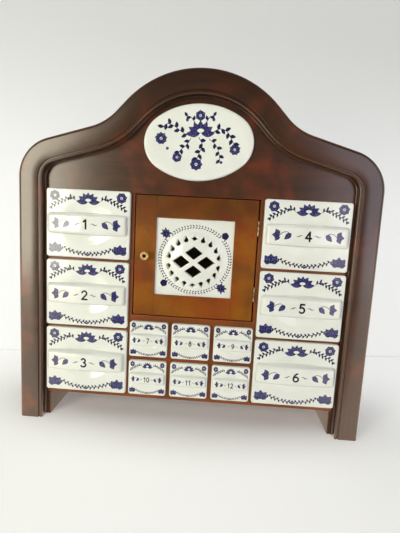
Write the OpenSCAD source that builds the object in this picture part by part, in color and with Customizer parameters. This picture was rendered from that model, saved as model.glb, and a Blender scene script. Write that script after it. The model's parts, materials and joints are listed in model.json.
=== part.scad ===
// Free-standing spice cabinet with an arched crown, twelve ceramic drawers,
// a small hinged door with a pierced tile, and an oval ceramic plaque.
// Millimetres. Front faces -Y, +X is to the right, Z is up, and the feet stand on Z = 0.

/* [Large drawers] */
// Width of the opening behind each large drawer front
big_open_w = 93.1; // [80:0.1:110]
// Height of the opening behind each large drawer front
big_open_h = 77.6; // [70:0.1:90]
// How far a large front covers the boards at each side
big_lap_x = 3.45; // [2:0.05:3.5]
// How far a large front covers the boards above and below
big_lap_z = 1.35; // [0.5:0.05:1.8]
// Room between a large drawer box and the back panel
big_back_room = 10.3; // [1:0.1:50]

/* [Small drawers] */
// Width of the opening behind each small drawer front
small_open_w = 44.2; // [38:0.1:50]
// Height of the opening behind each small drawer front
small_open_h = 42.1; // [36:0.1:46]
// How far a small front covers the boards at each side
small_lap_x = 1.15; // [0.5:0.05:2.4]
// How far a small front covers the boards above and below
small_lap_z = 0.85; // [0.5:0.05:2.4]
// Room between a small drawer box and the back panel
small_back_room = 23.3; // [1:0.1:60]

/* [Ceramic] */
// Thickness of a drawer front
plate_t = 4.7; // [4:0.1:7]
// Radius of the corners of a drawer front
plate_r = 3; // [1:0.1:4]
// Wall thickness of a large drawer box
big_wall = 5; // [4:0.1:7]
// Wall thickness of a small drawer box
small_wall = 4; // [3:0.1:5]
// Length of the grip across a large front
big_grip_w = 94; // [70:1:96]
// Height of the grip on a large front
big_grip_h = 23.5; // [18:0.5:28]
// How far the grip of a large front stands proud
big_grip_d = 9; // [6:0.1:12]
// How far the middle of a large grip bows out past its ends
big_grip_bow = 3.7; // [1:0.1:4]
// Length of the grip across a small front
small_grip_w = 43; // [36:1:44]
// Height of the grip on a small front
small_grip_h = 13; // [10:0.5:16]
// How far the grip of a small front stands proud
small_grip_d = 5; // [3:0.1:7]
// How far the middle of a small grip bows out past its ends
small_grip_bow = 1.6; // [0.5:0.1:3]
// Width of the finger hollow in a large front
big_hollow_w = 62; // [50:1:70]
// Height of the finger hollow in a large front
big_hollow_h = 49; // [40:1:56]
// Depth of the finger hollow in a large front
big_hollow_d = 6; // [3:0.1:6]
// Width of the finger hollow in a small front
small_hollow_w = 29; // [24:1:34]
// Height of the finger hollow in a small front
small_hollow_h = 26; // [20:1:30]
// Depth of the finger hollow in a small front
small_hollow_d = 3.5; // [2:0.1:4]

/* [Carcass] */
// Depth of the carcass boards from front edge to back edge
carcass_d = 128; // [112:1:180]
// Thickness of the two side boards
side_t = 18; // [12:0.5:22]
// Thickness of the two dividers beside the door
divider_t = 8; // [6:0.5:12]
// Thickness of the shelves between the large drawers
shelf_t = 6; // [4:0.5:9]
// Thickness of the boards between the small drawers
small_board_t = 7; // [5:0.5:10]
// Thickness of the shelf under the door
door_shelf_t = 8; // [6:0.5:12]
// Thickness of the bottom board
bottom_t = 7; // [5:0.5:12]
// Thickness of the top board
top_t = 7; // [5:0.5:12]
// Height of the open space under the bottom board
foot_h = 30.2; // [15:0.1:60]
// Depth of the grooves that house the ends of the boards
housing_d = 3; // [2:0.5:3.5]
// Thickness of the back panel
back_t = 4; // [3:0.5:6]

/* [Crown and moulding] */
// Height of the crown above the drawer openings
crown_rise = 139; // [130:1:150]
// Radius of the crown's outer edge
crown_r = 116; // [105:1:125]
// Radius of the hollow sweep beside the crown
sweep_r = 64; // [55:1:75]
// Radius of the rounded shoulders
shoulder_r = 46.5; // [40:0.5:55]
// Slope of the crown's sides in degrees
crown_slope = 47; // [42:0.5:50]
// Slope of the shoulders in degrees
shoulder_slope = 16.5; // [13:0.5:20]
// Length of the straight stretch below the crown's arc
crown_run = 16.5; // [5:0.5:25]
// Width of the moulding from its outer edge to its bead
moulding_w = 29; // [25:0.5:32]
// Thickness of the moulding
moulding_t = 11; // [9:0.5:16]
// Radius of the moulding's rounded outer edge
moulding_r = 4; // [3:0.5:6]
// Radius of the bead along the moulding's inner edge
bead_r = 1.6; // [1.2:0.1:2.2]
// Strip of carcass that shows inside the moulding
reveal_w = 5.1; // [4.6:0.1:10]
// Thickness of the panel under the crown
header_t = 8; // [6:0.5:12]

/* [Oval plaque] */
// Width of the plaque
plaque_w = 125.6; // [100:0.1:130]
// Height of the plaque
plaque_h = 85.6; // [70:0.1:90]
// Thickness of the plaque
plaque_t = 7; // [5:0.5:9]
// How far the plaque sits in its recess
plaque_seat = 3; // [2:0.5:4]
// Depth of the dish in the plaque
dish_d = 3.5; // [2:0.1:4]
// Height of the plaque's middle above the drawer openings
plaque_rise = 60.2; // [50:0.1:64]
// How far the plaque's middle lies to the left of the cabinet's middle
plaque_shift = 2.1; // [-4:0.1:4]
// Turn of the plaque to the left in degrees
plaque_turn = 2.7; // [-4:0.1:4]

/* [Door] */
// Gap between the door and its opening
door_gap = 1; // [0.6:0.1:2]
// Gap at the hinge side, which holds the two leaves
hinge_gap = 1.6; // [1.5:0.1:2.5]
// Thickness of the door
door_t = 12; // [11:0.5:16]
// Width and height of the tile that shows
tile_view = 92.4; // [80:0.1:100]
// How far the tile sits to the left of the door's middle
tile_shift = 0.9; // [0:0.1:2]
// Wood that laps over each edge of the tile
tile_lap = 2.9; // [2:0.1:5]
// Thickness of the tile
tile_t = 5; // [4:0.5:6]
// Thickness of the lip in front of the tile
door_lip = 3; // [2:0.5:4]
// Width of the dome on the tile
dome_w = 74; // [60:1:78]
// How far the dome's middle lies below the tile's middle
dome_drop = 4.2; // [0:0.1:6]
// Height of the dome on the tile
dome_h = 9; // [6:0.5:12]
// Wall thickness of the dome
dome_wall = 4; // [3:0.5:5]

/* [Door fittings] */
// Width of the knob
knob_w = 10; // [8:0.5:12]
// Length of the knob
knob_len = 10.5; // [9:0.5:14]
// Distance of the knob from the door's free edge
knob_inset = 13.4; // [9:0.2:14]
// Height of a hinge
hinge_h = 16; // [14:1:24]
// Radius of a hinge barrel
barrel_r = 1.1; // [1:0.1:1.4]
// Radius of a hinge pin
pin_r = 0.5; // [0.4:0.05:0.55]
// Thickness of a hinge leaf
leaf_t = 0.6; // [0.5:0.05:0.6]
// Distance of each hinge from the top or bottom of the door
hinge_inset = 25; // [18:1:40]

/* [Hidden] */
$fn = 96;

// Colours
dark_wood = "#4a2c20";
door_wood = "#8a4f1c";
inner_wood = "#8f6a45";
glaze = "#eeeee4";
brass = "#9a7a45";
steel = "#8d8f92";
pale_wood = "#cda15f";

// Fits
seat_gap = 0.3;
drawer_side_gap = 1;
drawer_top_gap = 2.3;
screw_fit = 0.05;
cut = 1;
fine = 180;
round_fn = 48;
drop_fn = 32;
drop_side = 0.96;

// Tangent shapes are made to cross by this much, so that they join cleanly
tangent_ease = 0.02;
run_lap = 1;
end_lap = 0.5;

// Counts
big_rows = 3;
small_rows = 2;
small_columns = 3;

// Places across the cabinet
door_open_w = small_columns*small_open_w + (small_columns - 1)*small_board_t;
divider_x = door_open_w/2;
column_x = divider_x + divider_t;
side_x = column_x + big_open_w;
side_out_x = side_x + side_t;
big_x = column_x + big_open_w/2;
small_pitch_x = small_open_w + small_board_t;
moulding_x = side_x + reveal_w;
half_w = moulding_x + moulding_w;

// Heights
floor_z = foot_h + bottom_t;
big_pitch_z = big_open_h + shelf_t;
small_pitch_z = small_open_h + small_board_t;
open_top_z = floor_z + big_rows*big_pitch_z - shelf_t;
door_shelf_z = floor_z + small_rows*small_pitch_z - small_board_t;
door_open_z = door_shelf_z + door_shelf_t;
total_h = open_top_z + crown_rise;

// Places from front to back
nail_head_t = 0.6;
total_d = big_grip_d + plate_t + seat_gap + carcass_d + back_t + nail_head_t;
plate_y = big_grip_d - total_d/2;
face_y = plate_y + plate_t + seat_gap;
back_y = face_y + carcass_d;

// Drawers
big_box_d = carcass_d + seat_gap - big_back_room;
small_box_d = carcass_d + seat_gap - small_back_room;
grip_edge_k = 0.45;
grip_corner_k = 0.38;
grip_root = 0.5;
web_inset = 0.5;

// Outline of the crown: tangent arcs and straight runs from the shoulder to the top
crown_c = [0, total_h - crown_r];
crown_out = [sin(crown_slope), cos(crown_slope)];
crown_down = [cos(crown_slope), -sin(crown_slope)];
shoulder_out = [sin(shoulder_slope), cos(shoulder_slope)];
shoulder_down = [cos(shoulder_slope), -sin(shoulder_slope)];
run_top = crown_c + crown_r*crown_out;
run_end = run_top + crown_run*crown_down;
sweep_c = run_end + sweep_r*crown_out;
slope_top = sweep_c - sweep_r*shoulder_out;
slope_len = (half_w - shoulder_r*(1 - shoulder_out[0]) - slope_top[0])/shoulder_down[0];
slope_end = slope_top + slope_len*shoulder_down;
shoulder_c = slope_end - shoulder_r*shoulder_out;

// Moulding profile
quirk_w = 2;
quirk_d = 3;
bead_drop = 0.3;
cove_r = 1.2;
cove_foot = 1;
flat_w = moulding_w - cove_r - 2*bead_r - quirk_w;
bead_u = flat_w + quirk_w + bead_r;
panel_u = half_w - side_out_x;

// Plaque
plaque_z = open_top_z + plaque_rise;
plaque_end_k = 1.15;
plaque_rim = 6;
plaque_fit = 0.15;
plaque_y = face_y + plaque_seat - plaque_t;

// Door
door_x0 = -divider_x + door_gap;
door_x1 = divider_x - hinge_gap;
door_z0 = door_open_z + door_gap;
door_z1 = open_top_z - door_gap;
door_mid_x = (door_x0 + door_x1)/2;
door_mid_z = (door_z0 + door_z1)/2;
door_back_y = face_y + door_t;
tile_mid_x = door_mid_x - tile_shift;
view_x0 = tile_mid_x - tile_view/2;
view_x1 = tile_mid_x + tile_view/2;
view_z0 = door_mid_z - tile_view/2;
view_z1 = door_mid_z + tile_view/2;
tile_y = face_y + door_lip;
tile_fit = 0.2;
strip_w = 6;
strip_gap = 0.2;
tenon_len = 8;
tenon_t = 4;
tenon_shoulder = 5;
knob_x = door_x0 + knob_inset;
knob_z = door_mid_z + 0.8;
knob_ring_r = 1.45;
knob_stem_r = 2.6;
knob_foot_r = 3.4;
knob_foot_t = 1.2;
knob_neck = 3.5;
knob_cup_d = 5.2;
knob_screw_r = 1.25;
knob_screw_len = 3.2;
knob_screw_head_r = 2.6;
knob_screw_head_t = 1.5;

// Openwork of the tile
dome_x = tile_mid_x;
dome_z = door_mid_z - dome_drop;
diamond_w = 21.2;
diamond_h = 15.8;
diamond_dx = 15.1;
diamond_dz = 11.2;
drop_step = 19.4;
drop_ring_a = 30.8;
drop_ring_b = 27.6;
drop_r = 2.85;
drop_tip = 5.2;
drop_lean = 16;
small_diamond_w = 7.8;
small_diamond_h = 6;
small_diamond_dz = 28.3;

// Hinges
pin_x = divider_x - hinge_gap/2;
pin_y = face_y - barrel_r - seat_gap;
knuckles = 3;
knuckle_gap = 0.3;
leaf_d = 11;
leaf_gap = 0.2;
pin_fit = 0.05;
pin_head_r = 0.9;
pin_head_t = 0.8;
upper_hinge_z = door_z1 - hinge_inset - hinge_h/2;
lower_hinge_z = door_z0 + hinge_inset + hinge_h/2;
leaf_screw_r = 0.8;
leaf_screw_len = 5;
leaf_screw_head_r = 1.4;
leaf_screw_head_t = 0.3;
leaf_screw_d = 6;
leaf_screw_y = face_y + leaf_screw_d;
leaf_screw_inset = 3.5;

// Catch
catch_w = 12;
catch_d = 14;
catch_h = 20;
catch_gap = 0.4;
magnet_r = 3.5;
magnet_t = 4;
strike_t = 1;
catch_rise = 32;
catch_x = -divider_x + catch_w/2;
catch_z = door_z0 + catch_rise;

// Nails of the back panel
nail_r = 0.6;
nail_len = 14;
nail_head_r = 1.6;
nail_side_count = 4;
nail_edge_count = 3;
nail_inset = 24;
back_margin = 5;

// Shapes that several pieces share

// A board given by its two opposite corners
module board(low, high) {
  translate(low) cube(high - low);
}

// A flat outline drawn in X and Z, made t thick from y towards the back
module from_front(y, t) {
  translate([0, y + t, 0]) rotate([90, 0, 0]) linear_extrude(t) children();
}

// A profile turned about an axis that starts at x, y, z and points to the front
module turned(x, y, z) {
  translate([x, y, z]) rotate([90, 0, 0]) rotate_extrude() children();
}

// A rod that runs from x, y, z to the back
module rod_y(x, y, z, r, len) {
  translate([x, y, z]) rotate([-90, 0, 0]) cylinder(h = len, r = r);
}

// A rod that runs from x, y, z to the right
module rod_x(x, y, z, r, len) {
  translate([x, y, z]) rotate([0, 90, 0]) cylinder(h = len, r = r);
}

// The children as drawn for the right side, or mirrored for the left
module on_side(side) {
  if (side < 0) mirror([1, 0, 0]) children();
  else children();
}

// A rectangle with round corners, centred
module round_rect(w, h, r) {
  square([w, h - 2*r], center = true);
  square([w - 2*r, h], center = true);
  for (sx = [-1, 1], sz = [-1, 1])
    translate([sx*(w/2 - r), sz*(h/2 - r)]) circle(r);
}

// An oval of four tangent arcs, centred
module oval(w, h) {
  a = w/2;
  b = h/2;
  end_r = plaque_end_k*b*b/a;
  side_drop = (pow(a - end_r, 2) - pow(b - end_r, 2))/(2*(b - end_r));
  side_r = side_drop + b;
  meet_x = (a - end_r)*side_r/(side_r - end_r);
  intersection() {
    translate([0, -side_drop]) circle(side_r, $fn = fine);
    translate([0, side_drop]) circle(side_r, $fn = fine);
    square([2*(meet_x + end_lap), h + cut], center = true);
  }
  for (s = [-1, 1])
    translate([s*(a - end_r), 0]) circle(end_r + tangent_ease, $fn = fine);
}

// A lens turned about X that sinks an oval hollow w wide, h high and d deep into a face at y
module oval_hollow(x, y, z, w, h, d) {
  axis_d = (h*h/4 - d*d)/(2*d);
  belly_r = (w*w/4 + d*d)/(2*d);
  translate([x, y - axis_d, z]) rotate([0, 90, 0]) rotate_extrude($fn = fine)
    intersection() {
      translate([axis_d + d - belly_r, 0]) circle(belly_r, $fn = fine);
      translate([axis_d - d, -w]) square([3*d, 2*w]);
    }
}

// Carcass

// The space of shelf number i, counted from the bottom, between x0 and x1
module big_shelf_space(i, x0, x1) {
  z = floor_z + i*big_pitch_z - shelf_t;
  board([x0, face_y, z], [x1, back_y, z + shelf_t]);
}

// The space of the shelf between the rows of small drawers
module small_shelf_space(x0, x1) {
  z = floor_z + small_open_h;
  board([x0, face_y, z], [x1, back_y, z + small_board_t]);
}

module door_shelf_space(x0, x1) {
  board([x0, face_y, door_shelf_z], [x1, back_y, door_open_z]);
}

module bottom_space(x0, x1) {
  board([x0, face_y, foot_h], [x1, back_y, floor_z]);
}

module upright_space(z0, z1) {
  board([small_open_w/2, face_y, z0], [small_open_w/2 + small_board_t, back_y, z1]);
}

// Shanks of the nails that hold the back panel, with room round them
module nail_shanks(room) {
  for (side = [-1, 1], i = [0 : nail_side_count - 1])
    rod_y(side*(side_x + side_t/2), back_y + back_t - nail_len,
          foot_h + nail_inset + i*(open_top_z - foot_h - 2*nail_inset)/(nail_side_count - 1),
          nail_r + room, nail_len + nail_head_t/2);
  for (z = [foot_h + bottom_t/2, open_top_z + top_t/2], i = [1 : nail_edge_count])
    rod_y(side_x*(2*i/(nail_edge_count + 1) - 1), back_y + back_t - nail_len, z,
          nail_r + room, nail_len + nail_head_t/2);
}

module nail_heads() {
  for (side = [-1, 1], i = [0 : nail_side_count - 1])
    rod_y(side*(side_x + side_t/2), back_y + back_t,
          foot_h + nail_inset + i*(open_top_z - foot_h - 2*nail_inset)/(nail_side_count - 1),
          nail_head_r, nail_head_t);
  for (z = [foot_h + bottom_t/2, open_top_z + top_t/2], i = [1 : nail_edge_count])
    rod_y(side_x*(2*i/(nail_edge_count + 1) - 1), back_y + back_t, z, nail_head_r, nail_head_t);
}

module side_board(side) {
  color(dark_wood) difference() {
    on_side(side) difference() {
      board([side_x, face_y, 0], [side_out_x, back_y, open_top_z]);
      bottom_space(side_x - cut, side_x + housing_d);
      for (i = [1 : big_rows - 1])
        big_shelf_space(i, side_x - cut, side_x + housing_d);
    }
    nail_shanks(screw_fit);
  }
}

module bottom_board() {
  color(dark_wood) difference() {
    bottom_space(-side_x - housing_d, side_x + housing_d);
    for (side = [-1, 1]) on_side(side) {
      board([divider_x, face_y - cut, floor_z - housing_d], [column_x, back_y + cut, floor_z + cut]);
      upright_space(floor_z - housing_d, floor_z + cut);
    }
    nail_shanks(screw_fit);
  }
}

module top_board() {
  color(dark_wood) difference() {
    board([-side_out_x, face_y + header_t, open_top_z], [side_out_x, back_y, open_top_z + top_t]);
    nail_shanks(screw_fit);
  }
}

module divider(side) {
  color(dark_wood) difference() {
    on_side(side) difference() {
      board([divider_x, face_y, floor_z - housing_d], [column_x, back_y, open_top_z]);
      for (i = [1 : big_rows - 1])
        big_shelf_space(i, column_x - housing_d, column_x + cut);
      small_shelf_space(divider_x - cut, divider_x + housing_d);
      door_shelf_space(divider_x - cut, divider_x + housing_d);
    }
    frame_leaf_shanks(screw_fit);
  }
}

module big_shelf(side, i) {
  color(dark_wood) on_side(side) big_shelf_space(i, column_x - housing_d, side_x + housing_d);
}

module door_shelf() {
  color(dark_wood) difference() {
    door_shelf_space(-divider_x - housing_d, divider_x + housing_d);
    for (side = [-1, 1]) on_side(side) upright_space(door_shelf_z - cut, door_shelf_z + housing_d);
  }
}

// The shelf and the uprights are halved into each other
module small_drawer_shelf() {
  mid_y = (face_y + back_y)/2;
  color(dark_wood) difference() {
    small_shelf_space(-divider_x - housing_d, divider_x + housing_d);
    for (side = [-1, 1]) on_side(side)
      board([small_open_w/2, face_y - cut, floor_z], [small_open_w/2 + small_board_t, mid_y, door_shelf_z]);
  }
}

module upright(side) {
  mid_y = (face_y + back_y)/2;
  z = floor_z + small_open_h;
  color(dark_wood) on_side(side) difference() {
    upright_space(floor_z - housing_d, door_shelf_z + housing_d);
    board([0, mid_y, z], [divider_x, back_y + cut, z + small_board_t]);
  }
}

module back_panel() {
  edge_x = side_out_x - back_margin;
  color(inner_wood) difference() {
    board([-edge_x, back_y, foot_h], [edge_x, back_y + back_t, open_top_z + top_t]);
    nail_shanks(screw_fit);
  }
}

module back_panel_nails() {
  color(steel) {
    nail_shanks(0);
    nail_heads();
  }
}

// Crown and moulding

// The outline of the crown, u inside its outer edge, down past the drawer openings' top
module crown_outline(u) {
  foot_z = min(shoulder_c[1], open_top_z) - cut;
  for (side = [-1, 1]) scale([side, 1]) difference() {
    union() {
      polygon([
        [0, foot_z],
        [half_w - u, foot_z],
        [half_w - u, shoulder_c[1]],
        shoulder_c + (shoulder_r - u)*shoulder_out,
        sweep_c - (sweep_r + u)*shoulder_out,
        sweep_c - (sweep_r + u)*crown_out,
        crown_c + (crown_r - u)*crown_out,
        crown_c
      ]);
      translate(shoulder_c) circle(shoulder_r - u + tangent_ease, $fn = fine);
      translate(crown_c) circle(crown_r - u + tangent_ease, $fn = fine);
    }
    translate(sweep_c) circle(sweep_r + u + tangent_ease, $fn = fine);
  }
}

// The children, drawn about the plaque's middle at Y = 0, set at its place
module in_plaque_place() {
  translate([-plaque_shift, 0, plaque_z]) rotate([0, -plaque_turn, 0]) children();
}

module header_panel() {
  color(dark_wood) difference() {
    from_front(face_y, header_t) intersection() {
      crown_outline(panel_u);
      translate([-half_w, open_top_z]) square([2*half_w, crown_rise]);
    }
    in_plaque_place() from_front(face_y - cut, cut + plaque_seat)
      oval(plaque_w + 2*plaque_fit, plaque_h + 2*plaque_fit);
  }
}

// Section of the moulding, u in from its outer edge and v up from the carcass, made e smaller all round
module moulding_profile(e) {
  bead_v = moulding_t - bead_drop - bead_r;
  difference() {
    union() {
      translate([e, e]) square([moulding_w - 2*e, cove_foot + cove_r - e]);
      translate([e, e]) square([bead_u - e, moulding_t - quirk_d - 2*e]);
      translate([bead_u - bead_r + e, e]) square([2*bead_r - 2*e, bead_v - e]);
      translate([e, e]) square([flat_w - 2*e, moulding_t - moulding_r - e]);
      translate([moulding_r, e]) square([flat_w - moulding_r - e, moulding_t - 2*e]);
      translate([moulding_r, moulding_t - moulding_r]) circle(moulding_r - e, $fn = round_fn);
      translate([bead_u, bead_v]) circle(bead_r - e, $fn = round_fn);
    }
    translate([moulding_w, cove_foot + cove_r]) circle(cove_r + e, $fn = round_fn);
  }
}

// A straight run of moulding that climbs to the left at an angle, between two distances from point
module moulding_run(point, angle, from, to, e) {
  translate([point[0], face_y, point[1]]) rotate([0, angle - 90, 0]) rotate([0, 0, 180])
    translate([0, 0, from]) linear_extrude(to - from) moulding_profile(e);
}

// A turn of moulding from one angle to another, about a centre inside or outside the cabinet
module moulding_turn(centre, r, from, to, inside) {
  translate([centre[0], face_y, centre[1]]) rotate([90, 0, 0]) rotate([0, 0, from])
    rotate_extrude(angle = to - from, $fn = fine) translate([r, 0]) scale([inside ? -1 : 1, 1])
      moulding_profile(0);
}

module post(side) {
  color(dark_wood) on_side(side) moulding_run([half_w, 0], 90, 0, shoulder_c[1], 0);
}

// The straight runs are a hair slimmer than the turns, and reach a little way into them
module crown_moulding() {
  color(dark_wood) {
    moulding_turn(crown_c, crown_r, 90 - crown_slope, 90 + crown_slope, true);
    for (side = [-1, 1]) on_side(side)
      moulding_run(run_end, crown_slope, 0, crown_run + run_lap, tangent_ease);
  }
}

module shoulder_moulding(side) {
  color(dark_wood) on_side(side) {
    moulding_turn(sweep_c, sweep_r, 270 - crown_slope, 270 - shoulder_slope, false);
    moulding_run(slope_end, shoulder_slope, -run_lap, slope_len + run_lap, tangent_ease);
    moulding_turn(shoulder_c, shoulder_r, 0, 90 - shoulder_slope, true);
  }
}

module oval_plaque() {
  color(glaze) in_plaque_place() difference() {
    from_front(plaque_y, plaque_t) oval(plaque_w, plaque_h);
    oval_hollow(0, plaque_y, 0, plaque_w - 2*plaque_rim, plaque_h - 2*plaque_rim, dish_d);
  }
}

// Door

module tile_rebate() {
  board([view_x0 - tile_lap, tile_y, view_z0 - tile_lap],
        [view_x1 + tile_lap, door_back_y + cut, view_z1 + tile_lap]);
}

// The tenons of both rails, which the stiles are cut for
module tenons() {
  y = tile_y + tile_t/2;
  for (z = [door_z0, view_z1])
    board([view_x0 - tenon_len, y, z + tenon_shoulder],
          [view_x1 + tenon_len, y + tenon_t, z + view_z0 - door_z0 - tenon_shoulder]);
}

module door_stile(x0, x1) {
  color(door_wood) difference() {
    board([x0, face_y, door_z0], [x1, door_back_y, door_z1]);
    tile_rebate();
    tenons();
    knob_shank(screw_fit);
    door_leaf_shanks(screw_fit);
    rod_y(catch_x, door_back_y - strike_t, catch_z, magnet_r + screw_fit, strike_t + cut);
  }
}

module door_rail(z0, z1) {
  color(door_wood) {
    difference() {
      board([view_x0, face_y, z0], [view_x1, door_back_y, z1]);
      tile_rebate();
    }
    intersection() {
      tenons();
      board([door_x0, face_y, z0], [door_x1, door_back_y, z1]);
    }
  }
}

module diamond(w, h) {
  polygon([[w/2, 0], [0, h/2], [-w/2, 0], [0, -h/2]]);
}

// A drop with its point towards +Y of the drawing, whose straight sides cut a little way into its circle
module drop() {
  side_r = drop_side*drop_r;
  k = side_r/drop_tip;
  circle(drop_r, $fn = drop_fn);
  polygon([[0, drop_tip], [-side_r*sqrt(1 - k*k), side_r*k], [side_r*sqrt(1 - k*k), side_r*k]]);
}

module openwork() {
  for (s = [-1, 1]) {
    translate([s*diamond_dx, 0]) diamond(diamond_w, diamond_h);
    translate([0, s*diamond_dz]) diamond(diamond_w, diamond_h);
    translate([0, s*small_diamond_dz]) diamond(small_diamond_w, small_diamond_h);
  }
  for (s = [-1, 1], u = [-1, 1], i = [1 : 4]) {
    t = i*drop_step;
    translate([s*drop_ring_a*sin(t), u*drop_ring_b*cos(t)])
      rotate(90 - 90*u - s*u*drop_lean*sin(2*t)) drop();
  }
}

module pierced_tile() {
  ball_r = (dome_w*dome_w/4 + dome_h*dome_h)/(2*dome_h);
  tile_w = tile_view + 2*tile_lap - 2*tile_fit;
  ball_y = tile_y - dome_h + ball_r;
  color(glaze) difference() {
    union() {
      translate([tile_mid_x, 0, door_mid_z]) from_front(tile_y, tile_t)
        square([tile_w, tile_w], center = true);
      intersection() {
        translate([dome_x, ball_y, dome_z]) sphere(ball_r, $fn = fine);
        translate([dome_x, 0, dome_z]) from_front(tile_y - 2*dome_h, 2*dome_h + tile_t/2)
          circle(dome_w/2 + tile_t/2);
      }
    }
    translate([dome_x, ball_y, dome_z]) sphere(ball_r - dome_wall, $fn = fine);
    translate([dome_x, 0, dome_z]) from_front(tile_y - 2*dome_h, 2*dome_h + 2*tile_t)
      openwork();
  }
}

module tile_retaining_strips() {
  low = [view_x0 - tile_lap, view_z0 - tile_lap];
  high = [view_x1 + tile_lap, view_z1 + tile_lap];
  y = tile_y + tile_t;
  inner_z0 = low[1] + strip_w + strip_gap;
  inner_z1 = high[1] - strip_w - strip_gap;
  color(door_wood) {
    board([low[0], y, low[1]], [high[0], door_back_y, low[1] + strip_w]);
    board([low[0], y, high[1] - strip_w], [high[0], door_back_y, high[1]]);
    board([low[0], y, inner_z0], [low[0] + strip_w, door_back_y, inner_z1]);
    board([high[0] - strip_w, y, inner_z0], [high[0], door_back_y, inner_z1]);
  }
}

// Door fittings

module knob_shank(room) {
  rod_y(knob_x, face_y - knob_screw_len, knob_z, knob_screw_r + room,
        knob_screw_len + door_t + knob_screw_head_t/2);
}

module door_knob() {
  hole_r = knob_w/2 - 2*knob_ring_r;
  cup_floor = knob_len - knob_cup_d;
  ring_v = knob_len - knob_ring_r;
  color(pale_wood) difference() {
    turned(knob_x, face_y, knob_z) {
      square([knob_foot_r, knob_foot_t]);
      polygon([
        [0, 0], [knob_stem_r, 0], [knob_stem_r, knob_neck],
        [knob_w/2, ring_v], [hole_r, ring_v], [hole_r, cup_floor], [0, cup_floor]
      ]);
      translate([knob_w/2 - knob_ring_r, ring_v]) circle(knob_ring_r, $fn = round_fn);
    }
    knob_shank(screw_fit);
  }
}

module knob_screw() {
  color(steel) {
    knob_shank(0);
    rod_y(knob_x, door_back_y, knob_z, knob_screw_head_r, knob_screw_head_t);
  }
}

// The barrel pieces of one hinge: those of the frame leaf are the first and the last
module knuckle_set(z, frame) {
  piece = (hinge_h - (knuckles - 1)*knuckle_gap)/knuckles;
  x0 = frame ? divider_x - leaf_t : door_x1;
  for (i = [0 : knuckles - 1])
    if ((i % 2 == 0) == frame) {
      base = z - hinge_h/2 + i*(piece + knuckle_gap);
      translate([pin_x, pin_y, base]) cylinder(h = piece, r = barrel_r, $fn = round_fn);
      board([x0, pin_y, base], [x0 + leaf_t, face_y + leaf_gap + cut, base + piece]);
    }
}

module hinge_leaf(z, frame) {
  x0 = frame ? divider_x - leaf_t : door_x1;
  color(brass) difference() {
    union() {
      board([x0, face_y + leaf_gap, z - hinge_h/2],
            [x0 + leaf_t, face_y + leaf_gap + leaf_d, z + hinge_h/2]);
      knuckle_set(z, frame);
    }
    translate([pin_x, pin_y, z - hinge_h]) cylinder(h = 2*hinge_h, r = pin_r + pin_fit, $fn = round_fn);
    if (frame) frame_leaf_shanks(screw_fit);
    if (frame) frame_leaf_heads(screw_fit);
    if (!frame) door_leaf_shanks(screw_fit);
    if (!frame) door_leaf_heads(screw_fit);
  }
}

module hinge_pin(z) {
  color(brass) {
    translate([pin_x, pin_y, z - hinge_h/2]) cylinder(h = hinge_h, r = pin_r, $fn = round_fn);
    for (s = [-1, 1])
      translate([pin_x, pin_y, z + s*(hinge_h + pin_head_t)/2])
        cylinder(h = pin_head_t, r = pin_head_r, center = true, $fn = round_fn);
  }
}

// The heights of all leaf screws
function leaf_screw_zs() = [
  for (z = [upper_hinge_z, lower_hinge_z], s = [-1, 1]) z + s*(hinge_h/2 - leaf_screw_inset)
];

module frame_leaf_shanks(room) {
  for (z = leaf_screw_zs())
    rod_x(divider_x - leaf_t/2, leaf_screw_y, z, leaf_screw_r + room, leaf_t/2 + leaf_screw_len);
}

module frame_leaf_heads(room) {
  for (z = leaf_screw_zs())
    rod_x(divider_x - leaf_t - room, leaf_screw_y, z, leaf_screw_head_r + room, leaf_screw_head_t + room);
}

module door_leaf_shanks(room) {
  for (z = leaf_screw_zs())
    rod_x(door_x1 - leaf_screw_len, leaf_screw_y, z, leaf_screw_r + room, leaf_t/2 + leaf_screw_len);
}

module door_leaf_heads(room) {
  for (z = leaf_screw_zs())
    rod_x(door_x1 + leaf_t - leaf_screw_head_t, leaf_screw_y, z,
          leaf_screw_head_r + room, leaf_screw_head_t + room);
}

module frame_leaf_screws() {
  color(brass) {
    frame_leaf_shanks(0);
    frame_leaf_heads(0);
  }
}

module door_leaf_screws() {
  color(brass) {
    door_leaf_shanks(0);
    door_leaf_heads(0);
  }
}

module catch_block() {
  y = door_back_y + catch_gap;
  color(inner_wood) difference() {
    board([-divider_x, y, catch_z - catch_h/2], [-divider_x + catch_w, y + catch_d, catch_z + catch_h/2]);
    rod_y(catch_x, y - cut, catch_z, magnet_r + screw_fit, magnet_t + cut);
  }
}

module catch_magnet() {
  color(steel) rod_y(catch_x, door_back_y + catch_gap, catch_z, magnet_r, magnet_t);
}

module catch_strike() {
  color(steel) rod_y(catch_x, door_back_y - strike_t, catch_z, magnet_r, strike_t);
}

// Drawers

// The long grip of a drawer front: a bowed band with rounded long edges and round corners
module grip(w, h, d, bow) {
  edge_r = grip_edge_k*d;
  bow_r = (w*w/4 + bow*bow)/(2*bow);
  root = d + grip_root;
  intersection() {
    translate([0, plate_y - d + bow_r, 0]) rotate([0, 0, -135]) rotate_extrude(angle = 90, $fn = fine) {
      translate([bow_r - root, -h/2]) square([root - edge_r, h]);
      translate([bow_r - root, edge_r - h/2]) square([root, h - 2*edge_r]);
      for (s = [-1, 1])
        translate([bow_r - edge_r, s*(h/2 - edge_r)]) circle(edge_r, $fn = round_fn);
    }
    from_front(plate_y - 2*d, 2*d + plate_t) round_rect(w, h, grip_corner_k*d);
  }
}

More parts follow.
